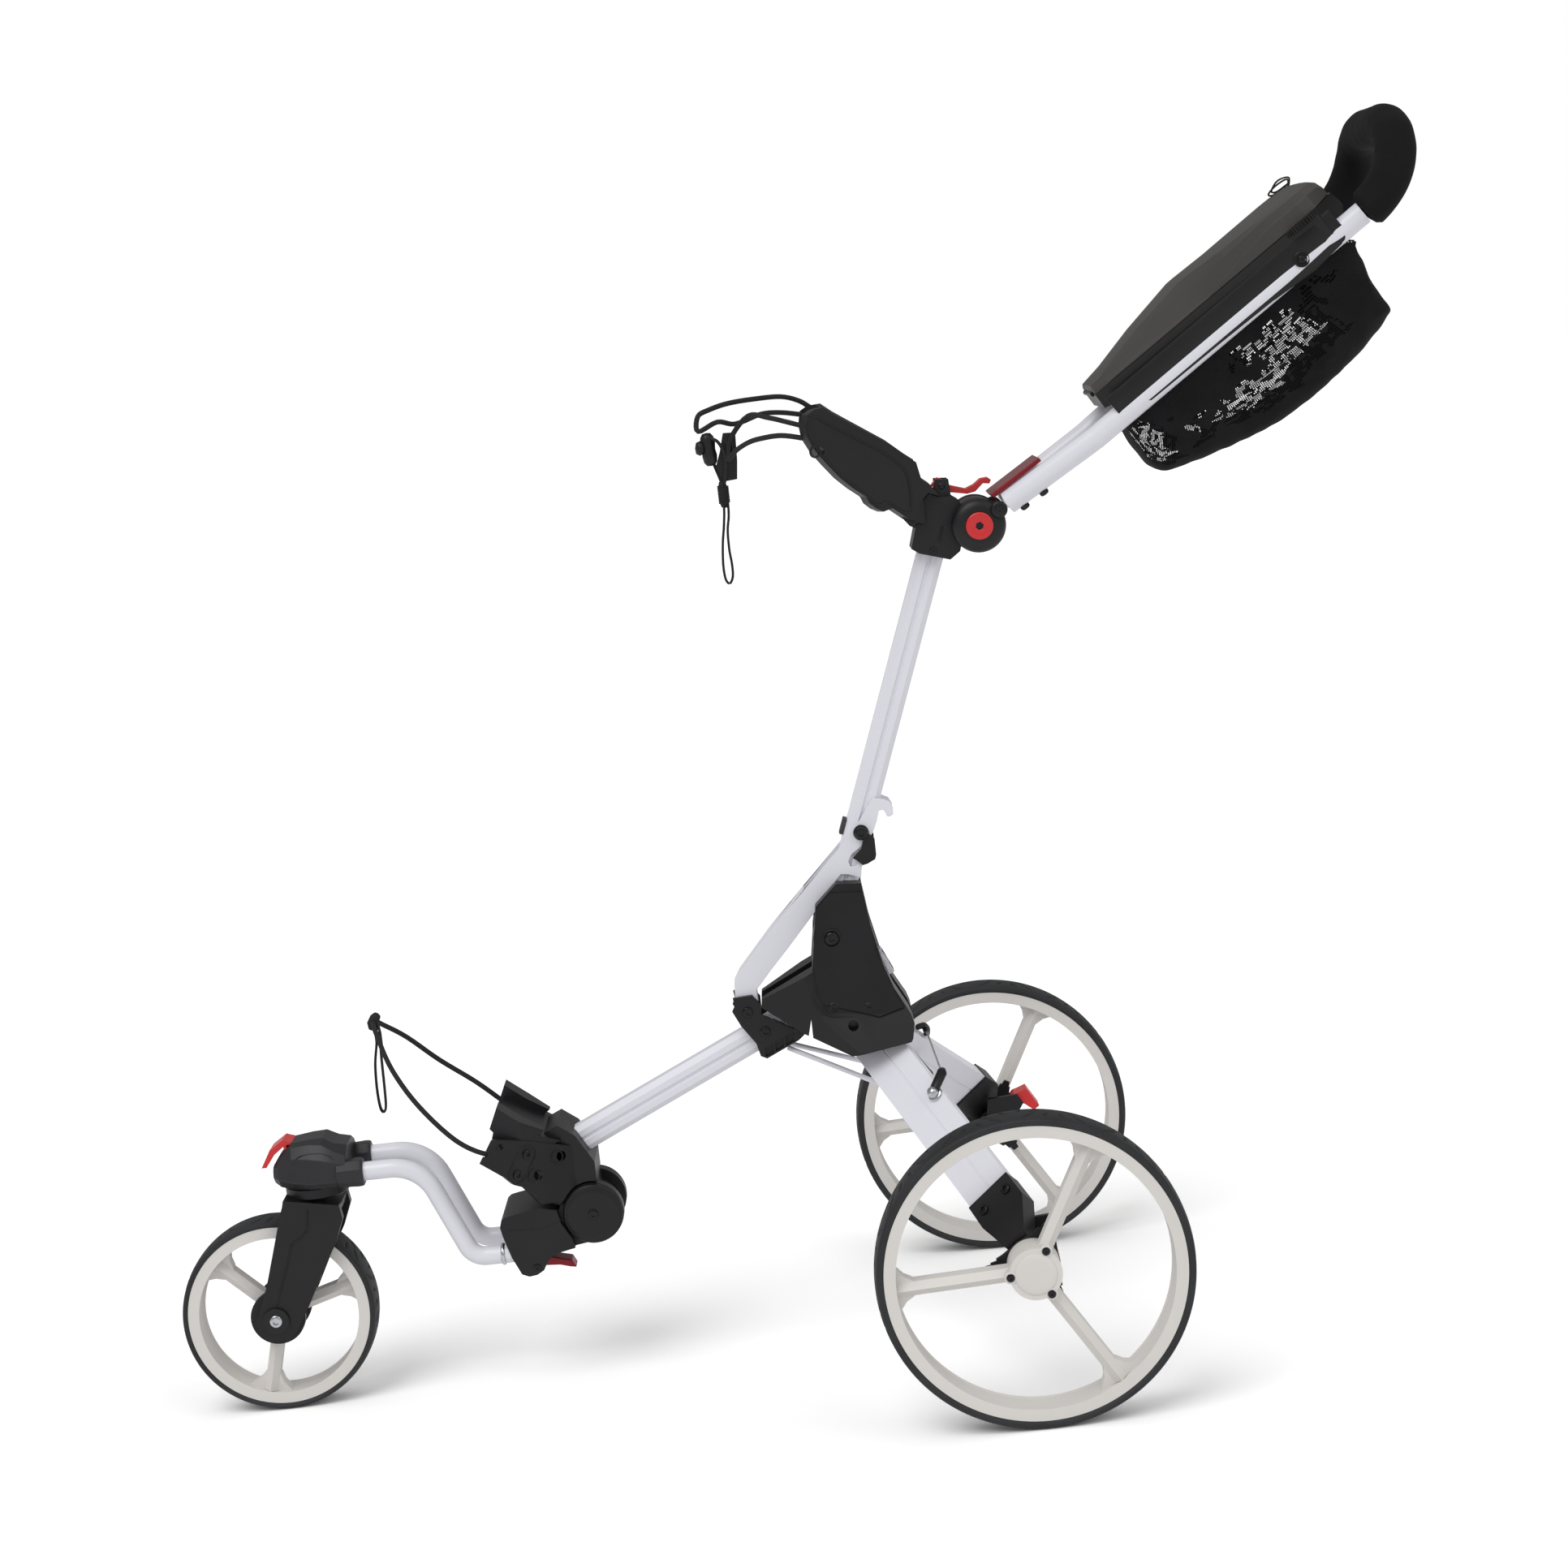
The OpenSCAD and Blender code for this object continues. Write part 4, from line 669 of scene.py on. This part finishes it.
def console():
    """Lid, side walls, dials and small fittings of the console."""
    rings = []
    for h, top, flat, shoulder, low in LID_STATIONS:
        edge = min(console_half(h) - 1, 111)
        half = [(edge, 4.4), (shoulder, low), ((shoulder + flat) / 2, (low + top) / 2 + 2.2), (flat, top - 0.8),
                (flat * 0.5, top)]
        ring = half + [(0, top + 0.2)] + [(-w, n) for w, n in half[::-1]]
        rings.append([on_console(h, w, n) for w, n in ring])
    verts, faces = loft(rings)
    n = len(rings[0])
    del faces[n - 1:-2:n]  # open below
    lid = piece("lid_shell", [(verts, faces)], LID, "console_lid", True, sharp=14)
    solid = lid.modifiers.new("thickness", "SOLIDIFY")
    solid.thickness = 0.0022
    solid.offset = -1
    rounded(lid, 0.0012, 2, 9)
    barrel = sweep([on_console(4, -34, 4.15), on_console(4, 34, 4.15)], 0.0026, 20)
    piece("lid_barrel", [barrel], BLACK, "console_lid", sharp=40)

    # Side walls that come down over the tubes' outer sides
    walls = []
    for s in (1, -1):
        sections = []
        for h, deep in WALL_DEPTHS:
            w = max(handle_half(CONSOLE_AT[0] + h * UP_HANDLE[0]) + 11.6, console_half(h) - 1.2)
            ring = [on_console(h, s * a, b)
                    for a, b in ((w, -4), (w + 1.4, -7), (w + 2.0, deep + 1.4), (w + 1.2, deep), (w, deep))]
            sections.append(ring[::s])
        walls.append(loft(sections))
    piece("console_walls", walls, BLACK, "console_base", sharp=35)

    # Toothed dial at each side of the lid, boss with its screw on each wall
    u, v, w = frame_on(on_console(0, 0, 1) - on_console(0, 0, 0))
    teeth = []
    for k in range(DIAL_TEETH * 4):
        a = 2 * math.pi * k / (DIAL_TEETH * 4)
        teeth.append((20.4 if k % 4 in (1, 2) else 19.0) * Vector((math.cos(a), math.sin(a))))
    dials, bosses, screws = [], [], []
    for s in (1, -1):
        hub = on_console(244, s * 97, 3)
        dials.append(loft([[hub + (scale * (p.x * u + p.y * v) + height * w) / 1000 for p in teeth]
                           for scale, height in DIAL_STEPS]))
        spot = on_console(222, s * (handle_half(CONSOLE_AT[0] + 222 * UP_HANDLE[0]) + 13.8), -23)
        lean = (0, s, 0)
        bosses.append(turned(spot, lean, [
            (0.01, -1), (7.4, -1), (7.4, 1.2), (6.8, 1.6), (6.2, 1.6), (5.8, 1.0), (5.2, 1.0), (4.8, 1.5),
            (4.2, 1.5), (3.8, 0.9), (0.01, 0.9)], 48))
        screws.append(screw(spot + Vector(lean) * 0.0008, lean, 3.4, 1.5, 0.5))
    piece("console_dials", dials + bosses, BLACK, "console_fittings", True, sharp=30)
    piece("console_screws", screws, BLACK_STEEL, "console_fittings")
    chrome = slab([(-6, -4.5), (6, -4.5), (6, 4.5), (-6, 4.5)], 0, 1,
                  place=lambda a, y, b: on_console(290.4 + y * 0.6, a * 2.2, -2.5 + b * 1.25))
    piece("button_frame", [chrome], STEEL, "console_base", bevel=0.0003)
    loops = []
    for drop, (w0, h0), (w1, h1) in ((0, (-72, 267), (-58, 286)), (2, (-66, 262), (-52, 283))):
        line = [(h1 - 6, w1, 22), (h1, w1 - 2, 29), (h0 + 10, w0 + 4, 33 - drop), (h0, w0, 29),
                (h0 + 4, w0 - 4, 25), (h1 - 4, w1 - 8, 24.5)]
        loops.append(sweep(smooth([on_console(*p) for p in line], 8), 0.0009, 8))
    piece("pencil_loops", loops, CORD, "console_lid", sharp=70)


# ---- Mesh pouch ----

POUCH_TOP = [(-184, 887), (-205, 901), (-250, 932), (-300, 967), (-350, 1002), (-385, 1023), (-398, 1024)]
POUCH_LOW = [(-177, 876), (-187, 856), (-196, 842), (-206, 832), (-218, 829.5), (-245, 836), (-278, 846),
             (-310, 857), (-338, 871), (-368, 890), (-396, 912), (-418, 932), (-433, 950), (-437, 957),
             (-428, 971), (-420, 983), (-411, 1003), (-398, 1018)]
# Patches of open net: from and to along the pouch, from and to up it, lean
OPENINGS = [(0.04, 0.10, 0.30, 0.86, 0.9), (0.12, 0.18, 0.36, 0.86, 0.9), (0.24, 0.29, 0.50, 0.78, 0.8),
            (0.33, 0.55, 0.50, 0.80, 0.25), (0.50, 0.72, 0.58, 0.90, 0.2), (0.40, 0.84, 0.91, 0.965, 0.0)]


def along(points, count):
    """count points spaced evenly along a smooth curve."""
    line = smooth([Vector((x, z, 0)) for x, z in points], 12)
    reach = [0.0]
    for a, b in zip(line, line[1:]):
        reach.append(reach[-1] + (b - a).length)
    out, j = [], 0
    for k in range(count):
        want = reach[-1] * k / (count - 1)
        while j < len(line) - 2 and reach[j + 1] < want:
            j += 1
        t = (want - reach[j]) / max(reach[j + 1] - reach[j], 1e-9)
        out.append(line[j].lerp(line[j + 1], min(max(t, 0), 1)))
    return out


def see_through(u, v):
    """Whether the net is open at u along it and v up from its bottom line."""
    rough = 0.07 * noise.noise(Vector((u * 21, v * 9, 3)))
    for u0, u1, v0, v1, lean in OPENINGS:
        uu = u + lean * 0.1 * (v - 0.6)
        if u0 + rough < uu < u1 + rough and v0 + rough * 1.4 < v < v1 + rough:
            return noise.noise(Vector((u * 60, v * 30, 7))) > -0.22
    return False


def pouch():
    """Net pouch lofted between its top edge on the tubes and its sagging bottom, with gathered ends."""
    long, deep = 176, 78
    top, low = along(POUCH_TOP, long), along(POUCH_LOW, long)
    grid = []
    for i in range(long):
        u = i / (long - 1)
        t, b = top[i], low[i]
        half = handle_half(max(t.x, -404)) - 11.5
        gather = math.exp(-u / 0.10) + math.exp(-(1 - u) / 0.16)
        line = []
        for j in range(2 * deep - 1):
            v = abs(j - (deep - 1)) / (deep - 1)
            s = 1 if j >= deep - 1 else -1
            drop = math.cos(v * math.pi / 2) ** 0.62 if v < 1 else 0.0
            wide = half * math.sin(v * math.pi / 2) ** 0.55
            wide *= 1 - 0.07 * math.sin(math.pi * v) * (1 - gather)
            wave = noise.noise(Vector((u * 13 + s * 5, v * 3.2, 0.4)))
            fold = noise.noise(Vector((u * 34 + s * 9, v * 2.0, 1.7)))
            loose = math.sin(math.pi * min(v * 1.02, 1)) ** 0.7
            sag = (2.6 * wave + 2.0 * fold) * loose
            edge = (1 - v) ** 2 * (1.6 * math.sin(u * 95) * min(gather, 1) + 1.3 * fold)
            x = t.x + (b.x - t.x) * drop
            z = t.y + (b.y - t.y) * drop + max(edge, -1.2) + 0.8
            y = s * max(wide - abs(sag) * 1.1 - 0.6, 0.0)
            line.append(row((x, y, z)))
        grid.append(line)
    n = 2 * deep - 1
    verts = [p for line in grid for p in line]
    faces = []
    for i in range(long - 1):
        for j in range(n - 1):
            a, b, c, d = i * n + j, i * n + j + 1, (i + 1) * n + j + 1, (i + 1) * n + j
            v = abs(j + 0.5 - (deep - 1)) / (deep - 1)
            if see_through((i + 0.5) / (long - 1), v):
                outer = (a, b, c, d)
                mid = (verts[a] + verts[b] + verts[c] + verts[d]) / 4
                base = len(verts)
                verts += [verts[k].lerp(mid, 0.3) for k in outer]
                faces += [(outer[k], outer[(k + 1) % 4], base + (k + 1) % 4, base + k) for k in range(4)]
            else:
                faces.append((a, b, c, d))
    cloth = piece("pouch_net", [(verts, faces)], NET, "mesh_bag", True, sharp=180)
    edges, dots = [], []
    for j, s in ((0, -1), (n - 1, 1)):
        edges.append(sweep([grid[i][j] for i in range(0, long, 3)], 0.0013, 8))
        for i in range(118, long - 2, 2):
            spot = grid[i][j] + Vector((0, s * 0.0011, -0.0006))
            dots.append(turned(spot, (0, s, 0), [(0.01, -0.5), (0.55, -0.3), (0.55, 0.3), (0.01, 0.6)], 8))
    trim = piece("pouch_binding", edges, WEB, "mesh_bag", sharp=80)
    stitches = piece("pouch_stitches", dots, THREAD, "mesh_bag", sharp=80)
    for o in (cloth, trim, stitches):
        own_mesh(o)


# ---- Frame details ----

def flat_screws(name, node, spots, replaces=True):
    """Screws at [ahead, up, distance from the mid-plane, radius, height], on both sides."""
    piece(name, [screw(row((x, s * y, z)), (0, s, 0), r, h, 0.5) for x, z, y, r, h in spots for s in (1, -1)],
          BLACK_STEEL, node, replaces)


def bead(name, route, r, material, node, closed=False, steps=6):
    """A fine raised line along points [ahead, left, up], on both sides."""
    line = rows(route)
    if not closed:
        line = smooth(line, steps)
    piece(name, both(sweep(line, r / 1000, 8, dome=0.6, closed=closed)), material, node, sharp=80)


def stadium(cx, cz, half, r, angle):
    """Side-view points round a stadium; half is half the distance between its ends' centres."""
    a, steps = math.radians(angle), 8
    out = []
    for s, base in ((1, -90), (-1, 90)):
        for k in range(steps + 1):
            t = math.radians(base + 180 * k / steps)
            x, z = s * half + r * math.cos(t), r * math.sin(t)
            out.append((cx + x * math.cos(a) - z * math.sin(a), cz + x * math.sin(a) + z * math.cos(a)))
    return out


LOWER_ARM, UPPER_ARM = math.radians(30), math.radians(28)


def on_lower_arm(x, z, out=0.0):
    """A point of the lower bracket's left face, seen from the side at x and z."""
    sin, cos = math.sin(LOWER_ARM), math.cos(LOWER_ARM)
    return (x - (8 + out) * sin, 26 + (x - 428) * sin / cos + (8 + out) * cos, z)


def on_upper_arm(x, z, out=0.0):
    """A point of the upper bracket's left face, seen from the side at x and z."""
    sin, cos = math.sin(UPPER_ARM), math.cos(UPPER_ARM)
    return (x - (12 + out) * sin, 20 + (x - 24) * sin / cos + (12 + out) * cos, z)


def housing_face(z, out=0.0):
    """How far the housing's lower side stands from the mid-plane."""
    return 47.1 - (z - 351) * 0.15 + out


def housing_details():
    """Screws of the centre housing, mast pivot, strut and slider, with the beads round them."""
    flat_screws("housing_screws", "frame_screws", [(121, 349.3, 47.3, 4.6, 2.4), (155, 353.1, 46.8, 4.6, 2.4)])
    ring = [(x, housing_face(z, 0.35), z) for x, z in stadium(138, 351.2, 17, 9.5, 6.4)]
    bead("housing_stadium", ring, 1.0, BLACK, "housing_left", closed=True)
    flat_screws("pivot_screw", "mast_pivot_bolt", [(149.7, 418.6, 37.6, 6.4, 3.6)])
    dish = [(149.7 + 8.6 * math.cos(a), 39.7, 418.6 + 8.6 * math.sin(a))
            for a in (2 * math.pi * k / 24 for k in range(24))]
    bead("pivot_dish", dish, 0.9, BLACK, "housing_left", closed=True)
    flat_screws("strut_screws", "strut_pivot_pin", [(110.4, 514.9, 20.2, 6.2, 2.4)])
    flat_screws("slider_heads", "slider_screws", [(239, 351, 20.4, 5.0, 2.2), (224, 330, 20.4, 5.0, 2.2)])


def lower_bracket_details():
    """Slanted stadium with its screws, two bosses; hinge disc's groove and screw, link and welds."""
    out = (-math.sin(LOWER_ARM), math.cos(LOWER_ARM), 0)
    heads = [screw(row(on_lower_arm(x, z)), out, 4.8, 2.2, 0.5) for x, z in ((470, 243), (481, 225))]
    piece("bracket_screws", both(*heads), BLACK_STEEL, "lower_bag_bracket")
    ring = [on_lower_arm(x, z, 0.2) for x, z in stadium(475.5, 234, 10.6, 8.2, 121)]
    bead("bracket_stadium", ring, 0.6, BLACK, "lower_bag_bracket", closed=True)
    bosses = [turned(row(on_lower_arm(x, z, -0.2)), out,
                     [(5.2, -1), (6.6, -1), (6.6, 0.9), (6.0, 1.3), (5.4, 0.9), (5.2, -1)], 40, closed=True)
              for x, z in ((443, 233), (466, 220))]
    piece("bracket_bosses", both(*bosses), BLACK, "lower_bag_bracket")
    discs = [turned(row((411, s * 33, 171)), (0, s, 0), [
        (0.01, 6.0), (22, 6.0), (26.2, 5.7), (27.0, 5.0), (27.6, 5.0), (28.2, 5.4), (29.2, 4.6), (29.6, 3.4),
        (29.6, 0.2), (0.01, 0.2)], 96) for s in (1, -1)]
    piece("hinge_discs", discs, BLACK, "front_discs", True, sharp=50)
    flat_screws("hinge_screws", "front_hinge_bolt", [(411, 171, 38.8, 5.0, 1.9)])
    flat_screws("link_screws", "front_link", [(471.5, 124.5, 41.8, 3.8, 1.4)], replaces=False)
    seam = [(x, 42.05, z) for x, z in ((499, 165), (480, 163.5), (462, 163), (448, 167), (443, 171))]
    bead("link_seam", seam, 0.5, BLACK, "front_link")
    welds = [turned(row((503.5, s * 32, 139)), (1, 0, 0),
                    [(9.0, -2.2), (10.6, -1.6), (11.0, 0.2), (10.2, 1.6), (9.0, 2.2)], 48, closed=True)
             for s in (1, -1)]
    piece("yoke_welds", welds, STEEL, "yoke_tubes", sharp=70)


def upper_bracket_details():
    """Raised rim round the arm's pad, a collar round its hole; the mast head's screw, slot and cam pin."""
    rim = [(126.6, 917), (117.6, 919), (105.6, 910), (59.6, 879), (43.6, 865), (36.6, 852), (36.6, 824),
           (44.6, 820), (57.6, 831), (67.6, 830), (75.6, 838), (89.6, 852), (101.6, 865), (111.6, 878),
           (120.6, 891), (127.6, 903), (126.6, 917)]
    bead("arm_rim", [on_upper_arm(x, z, 0.1) for x, z in rim], 1.1, BLACK, "upper_bag_bracket", steps=3)
    collar = turned(row(on_upper_arm(121.6, 887, -0.2)), (-math.sin(UPPER_ARM), math.cos(UPPER_ARM), 0),
                    [(4.2, -1), (5.8, -1), (5.8, 0.9), (5.0, 1.4), (4.2, 0.9)], 36, closed=True)
    piece("arm_collars", both(collar), BLACK, "upper_bag_bracket")
    flat_screws("head_screws", "mast_head", [(13.4, 779.7, 24, 3.4, 1.2)], replaces=False)
    bead("head_slot", [(2.6, 24.2, 801.8), (5, 24.2, 794), (7.2, 24.2, 786.8)], 1.0, BLACK, "mast_head")
    pins = [turned(row((-1, s * 15.9, 839)), (0, s, 0), [(0.01, 0.6), (2.2, 0.5), (2.9, 0), (2.9, -1)], 24)
            for s in (1, -1)]
    piece("cam_pin", pins, BLACK_STEEL, "mast_head")


# ---- Legs ----

LEG_HINGE, LEG_FOOT, LEG_CROSS = (138, 334), (17, 184), 17.8
LEG_DIR = math.atan2(LEG_FOOT[1] - LEG_HINGE[1], LEG_FOOT[0] - LEG_HINGE[0])
LEG_IN_PLANE = math.hypot(LEG_FOOT[0] - LEG_HINGE[0], LEG_FOOT[1] - LEG_HINGE[1])
LEG_SPLAY = math.atan((HALF_TRACK - 53.5 + LEG_CROSS) / LEG_IN_PLANE)
LEG_LEN = LEG_IN_PLANE / math.cos(LEG_SPLAY)


def on_leg(x, y, z):
    """A point of the left leg: x down it, y outwards through it, z across it."""
    down = x * math.cos(LEG_SPLAY) - y * math.sin(LEG_SPLAY)
    out = x * math.sin(LEG_SPLAY) + y * math.cos(LEG_SPLAY)
    sin, cos = math.sin(LEG_DIR), math.cos(LEG_DIR)
    return row((LEG_HINGE[0] + down * cos - z * sin, out - LEG_CROSS, LEG_HINGE[1] + down * sin + z * cos))


LEG_OUT = (on_leg(0, 1, 0) - on_leg(0, 0, 0)).normalized()


def leg_screws():
    heads = [screw(on_leg(LEG_LEN - 12, 11, s * 14), LEG_OUT, 5.0, 2.2, 0.5) for s in (-1, 1)]
    piece("leg_screw_heads", both(*heads), BLACK_STEEL, "leg_screws", True)


def tie():
    """Wire between the legs: a ball stud and socket on the left leg, a clip on the right leg's rear edge."""
    ball, socket = on_leg(158, 13, -16), on_leg(146, 10, -34)
    clip = on_leg(126, 0, -30)
    clip.y = -clip.y
    stud = [(7.4, -0.4), (7.4, 1.2), (6.4, 2.2), (4.6, 2.4), (4.6, 5)]
    knob = [(0.01, 5.2), (2.6, 5.1), (4.4, 3.8), (5.4, 1.0), (5.2, -1.6), (4.0, -3.8), (0.01, -4.4)]
    chrome = [turned(on_leg(158, 8, -16), LEG_OUT, stud, 36), turned(ball, LEG_OUT, knob, 36)]
    piece("tie_wire", chrome + [sweep([socket, clip], 0.0011, 12)], STEEL, "tie_link", True, sharp=60)
    way = (ball - socket).normalized()
    end = (clip - socket).normalized()
    boots = [sweep([ball + way * 0.004, ball, socket, socket + end * 0.006, socket + end * 0.012],
                   [0.0048, 0.0062, 0.0052, 0.0046, 0.0026], 24, dome=0.8, flat=0.8)]
    hook = ((114, -24.5), (114, -28), (120, -31), (130, -30), (137, -26), (138, -24))
    far = [on_leg(x, 1, z) for x, z in hook]
    far = [Vector((p.x, -p.y, p.z)) for p in far]
    boots.append(sweep(smooth(far, 4), 0.0031, 16, dome=0.8, flat=1.5, side=(0.3, 0.9, 0.2)))
    boots.append(sweep([clip + end * 0.002, clip - end * 0.006, clip - end * 0.012],
                       [0.0034, 0.0034, 0.0022], 16, dome=0.6))
    piece("tie_boots", boots, BLACK, "tie_link", sharp=60)


# ---- Front ----

SWIVEL, HEAD_Z = 682, 237


def bend(p, a, b, r, steps=8):
    """Points of a rounded corner at p between a and b, in the side view."""
    p, a, b = Vector(p), Vector(a), Vector(b)
    u, v = (a - p).normalized(), (b - p).normalized()
    half = u.angle(v) / 2
    back = r / math.tan(half)
    mid = p + (u + v).normalized() * (r / math.sin(half))
    start, end = p + u * back, p + v * back
    s, e = start - mid, end - mid
    turn = s.angle(e)
    return [mid + (s * math.sin(turn * (1 - k / steps)) + e * math.sin(turn * k / steps)) / math.sin(turn)
            for k in range(steps + 1)]


# Stations of the head ahead of the swivel, [half width, height] from the bottom round to the top
HEAD_STATIONS = [
    (-37, (33, 226), (39, 232), (40, 247), (33, 255), (18, 262)),
    (-24, (34, 224.5), (40, 231), (40, 250), (31, 261), (18, 265)),
    (-14, (34, 224), (40, 231), (39, 253), (28, 267), (17, 271)),
    (0, (33, 224), (39, 231), (36, 255), (26, 268), (16, 270.5)),
    (18, (27, 224.2), (34, 233), (29, 255), (22, 266), (15, 268.5)),
    (32, (18, 226), (26, 235), (22, 249), (17, 254), (12, 255.5)),
    (38.5, (13, 230), (20, 237), (17, 243.5), (13, 246), (9, 246.5)),
]


def front():
    """Yoke, head housing, and the details of the fork and its axle."""
    route = [(642, HEAD_Z), (632, HEAD_Z), (620, HEAD_Z)]
    route += bend((574, HEAD_Z), (662, HEAD_Z), (533, 139), 45, 12)
    route += bend((533, 139), (574, HEAD_Z), (492, 139), 20, 10) + [(496, 139), (492, 139)]
    shape = sweep([row((x, 32, z)) for x, z in route], 0.00925, 40, side=(0, 1, 0))
    piece("yoke_smooth", both(shape), PAINT, "yoke_tubes", True, sharp=50)

    # Head housing: a faceted body that narrows towards its nose, and a socket round each tube
    shapes = [loft([rows([(SWIVEL + x, y, z) for y, z in half] + [(SWIVEL + x, -y, z) for y, z in half[::-1]])
                    for x, *half in HEAD_STATIONS])]
    for s in (1, -1):
        shapes.append(turned(row((SWIVEL - 53, s * 32, HEAD_Z)), (1, 0, 0),
                             [(9.4, 0), (13.0, 0), (14.2, 1.2), (14.6, 6), (14.2, 12), (13.6, 26), (9.4, 26)],
                             8, start=math.pi / 8, closed=True))
    piece("head_shell", shapes, HEAD, "head_housing", True, bevel=0.0016, segments=3, sharp=12)
    collar = turned(row((SWIVEL, 0, 213)), (0, 0, 1), [
        (12.4, 0), (30, 0), (31, 1), (31, 4.2), (29.5, 5.4), (27, 5.8), (26, 8), (24, 11.2), (12.4, 11.2)],
        64, closed=True)
    piece("swivel_collar", [collar], BLACK, "fork", sharp=40)
    ridge = [(16, 30.4, 251), (8, 31.4, 258.6), (-10, 33.2, 259.8), (-22, 35.6, 256.5), (-25, 37.4, 252)]
    bead("head_ridge", [(SWIVEL + x, y, z) for x, y, z in ridge], 0.55, HEAD, "head_housing", steps=3)

    # Fork: the jogged ridge of each arm, the bolt's rings and heads
    jog = [(689, 205), (690.5, 195), (692, 185.5), (699, 177.5), (709, 171), (713, 160), (731.5, 112)]
    bead("fork_ridge", [(x, 34.2, z) for x, z in jog], 0.9, BLACK, "fork", steps=3)
    rings, heads = [], []
    for s in (1, -1):
        rings.append(turned(row((FRONT_X, s * 34, FRONT_R)), (0, s, 0), [
            (6.6, -0.5), (11.5, -0.5), (11.5, 0.9), (10.6, 2.0), (8.8, 2.6), (7.4, 2.2), (6.6, 1.2)],
            48, closed=True))
        heads.append(screw(row((FRONT_X, s * 35.2, FRONT_R)), (0, s, 0), 6.2, 3.2, 0.5))
    piece("axle_rings", rings, BLACK, "front_axle", True)
    piece("axle_heads", heads, STEEL, "front_axle")


wheels()
cords()
handle()
top_joint()
console()
pouch()
housing_details()
lower_bracket_details()
upper_bracket_details()
leg_screws()
tie()
front()


# ---- Floor and light ----

def plain(name, pale, seen_pale):
    """A matt floor; the camera sees it a little paler than it lights the cart, so that it clips to white."""
    m, t, p = nodes_of(name)
    t.nodes.remove(p)
    path = t.nodes.new("ShaderNodeLightPath")
    mix = t.nodes.new("ShaderNodeMixShader")
    t.links.new(path.outputs["Is Camera Ray"], mix.inputs[0])
    for k, value in enumerate((pale, seen_pale)):
        matt = add(t, "ShaderNodeBsdfDiffuse", Color=(value, value, value, 1))
        t.links.new(matt.outputs[0], mix.inputs[k + 1])
    t.links.new(mix.outputs[0], t.nodes["Material Output"].inputs["Surface"])
    return m


def stage_floor():
    mesh = bpy.data.meshes.new("floor")
    mesh.from_pydata([(-30, -30, 0), (30, -30, 0), (30, 30, 0), (-30, 30, 0)], [], [(0, 1, 2, 3)])
    floor = placed("floor", mesh)
    look(floor, plain("floor_white", 0.9, 1.25))


def lamp(name, aim, spread, strength):
    """A wide soft source far off in the direction of aim."""
    data = bpy.data.lights.new(name, "SUN")
    data.energy = strength
    data.angle = math.radians(spread)
    o = placed(name, data)
    o.location = Vector(aim).normalized() * 4
    o.rotation_euler = Vector(aim).to_track_quat("Z", "Y").to_euler()


def light_studio():
    """A dim white room that reflections see dimmer still and the camera sees as white, and two soft lamps."""
    world = bpy.data.worlds.new("world")
    bpy.context.scene.world = world
    world.use_nodes = True
    t = world.node_tree
    path = t.nodes.new("ShaderNodeLightPath")
    shown = t.nodes["Background"].outputs[0]
    t.nodes["Background"].inputs["Color"].default_value = (1, 1, 1, 1)
    t.nodes["Background"].inputs["Strength"].default_value = 0.52
    for ray, strength in (("Is Glossy Ray", 0.32), ("Is Camera Ray", 1.0)):
        back = add(t, "ShaderNodeBackground", Strength=strength, Color=(1, 1, 1, 1))
        mix = add(t, "ShaderNodeMixShader")
        t.links.new(path.outputs[ray], mix.inputs[0])
        t.links.new(shown, mix.inputs[1])
        t.links.new(back.outputs[0], mix.inputs[2])
        shown = mix.outputs[0]
    t.links.new(shown, t.nodes["World Output"].inputs[0])
    lamp("key", (0.9, 1.3, 2.2), 38, 1.15)
    lamp("fill", (-1.6, 1.2, 1.5), 50, 0.4)


stage_floor()
light_studio()
bpy.context.scene.view_settings.view_transform = "Standard"
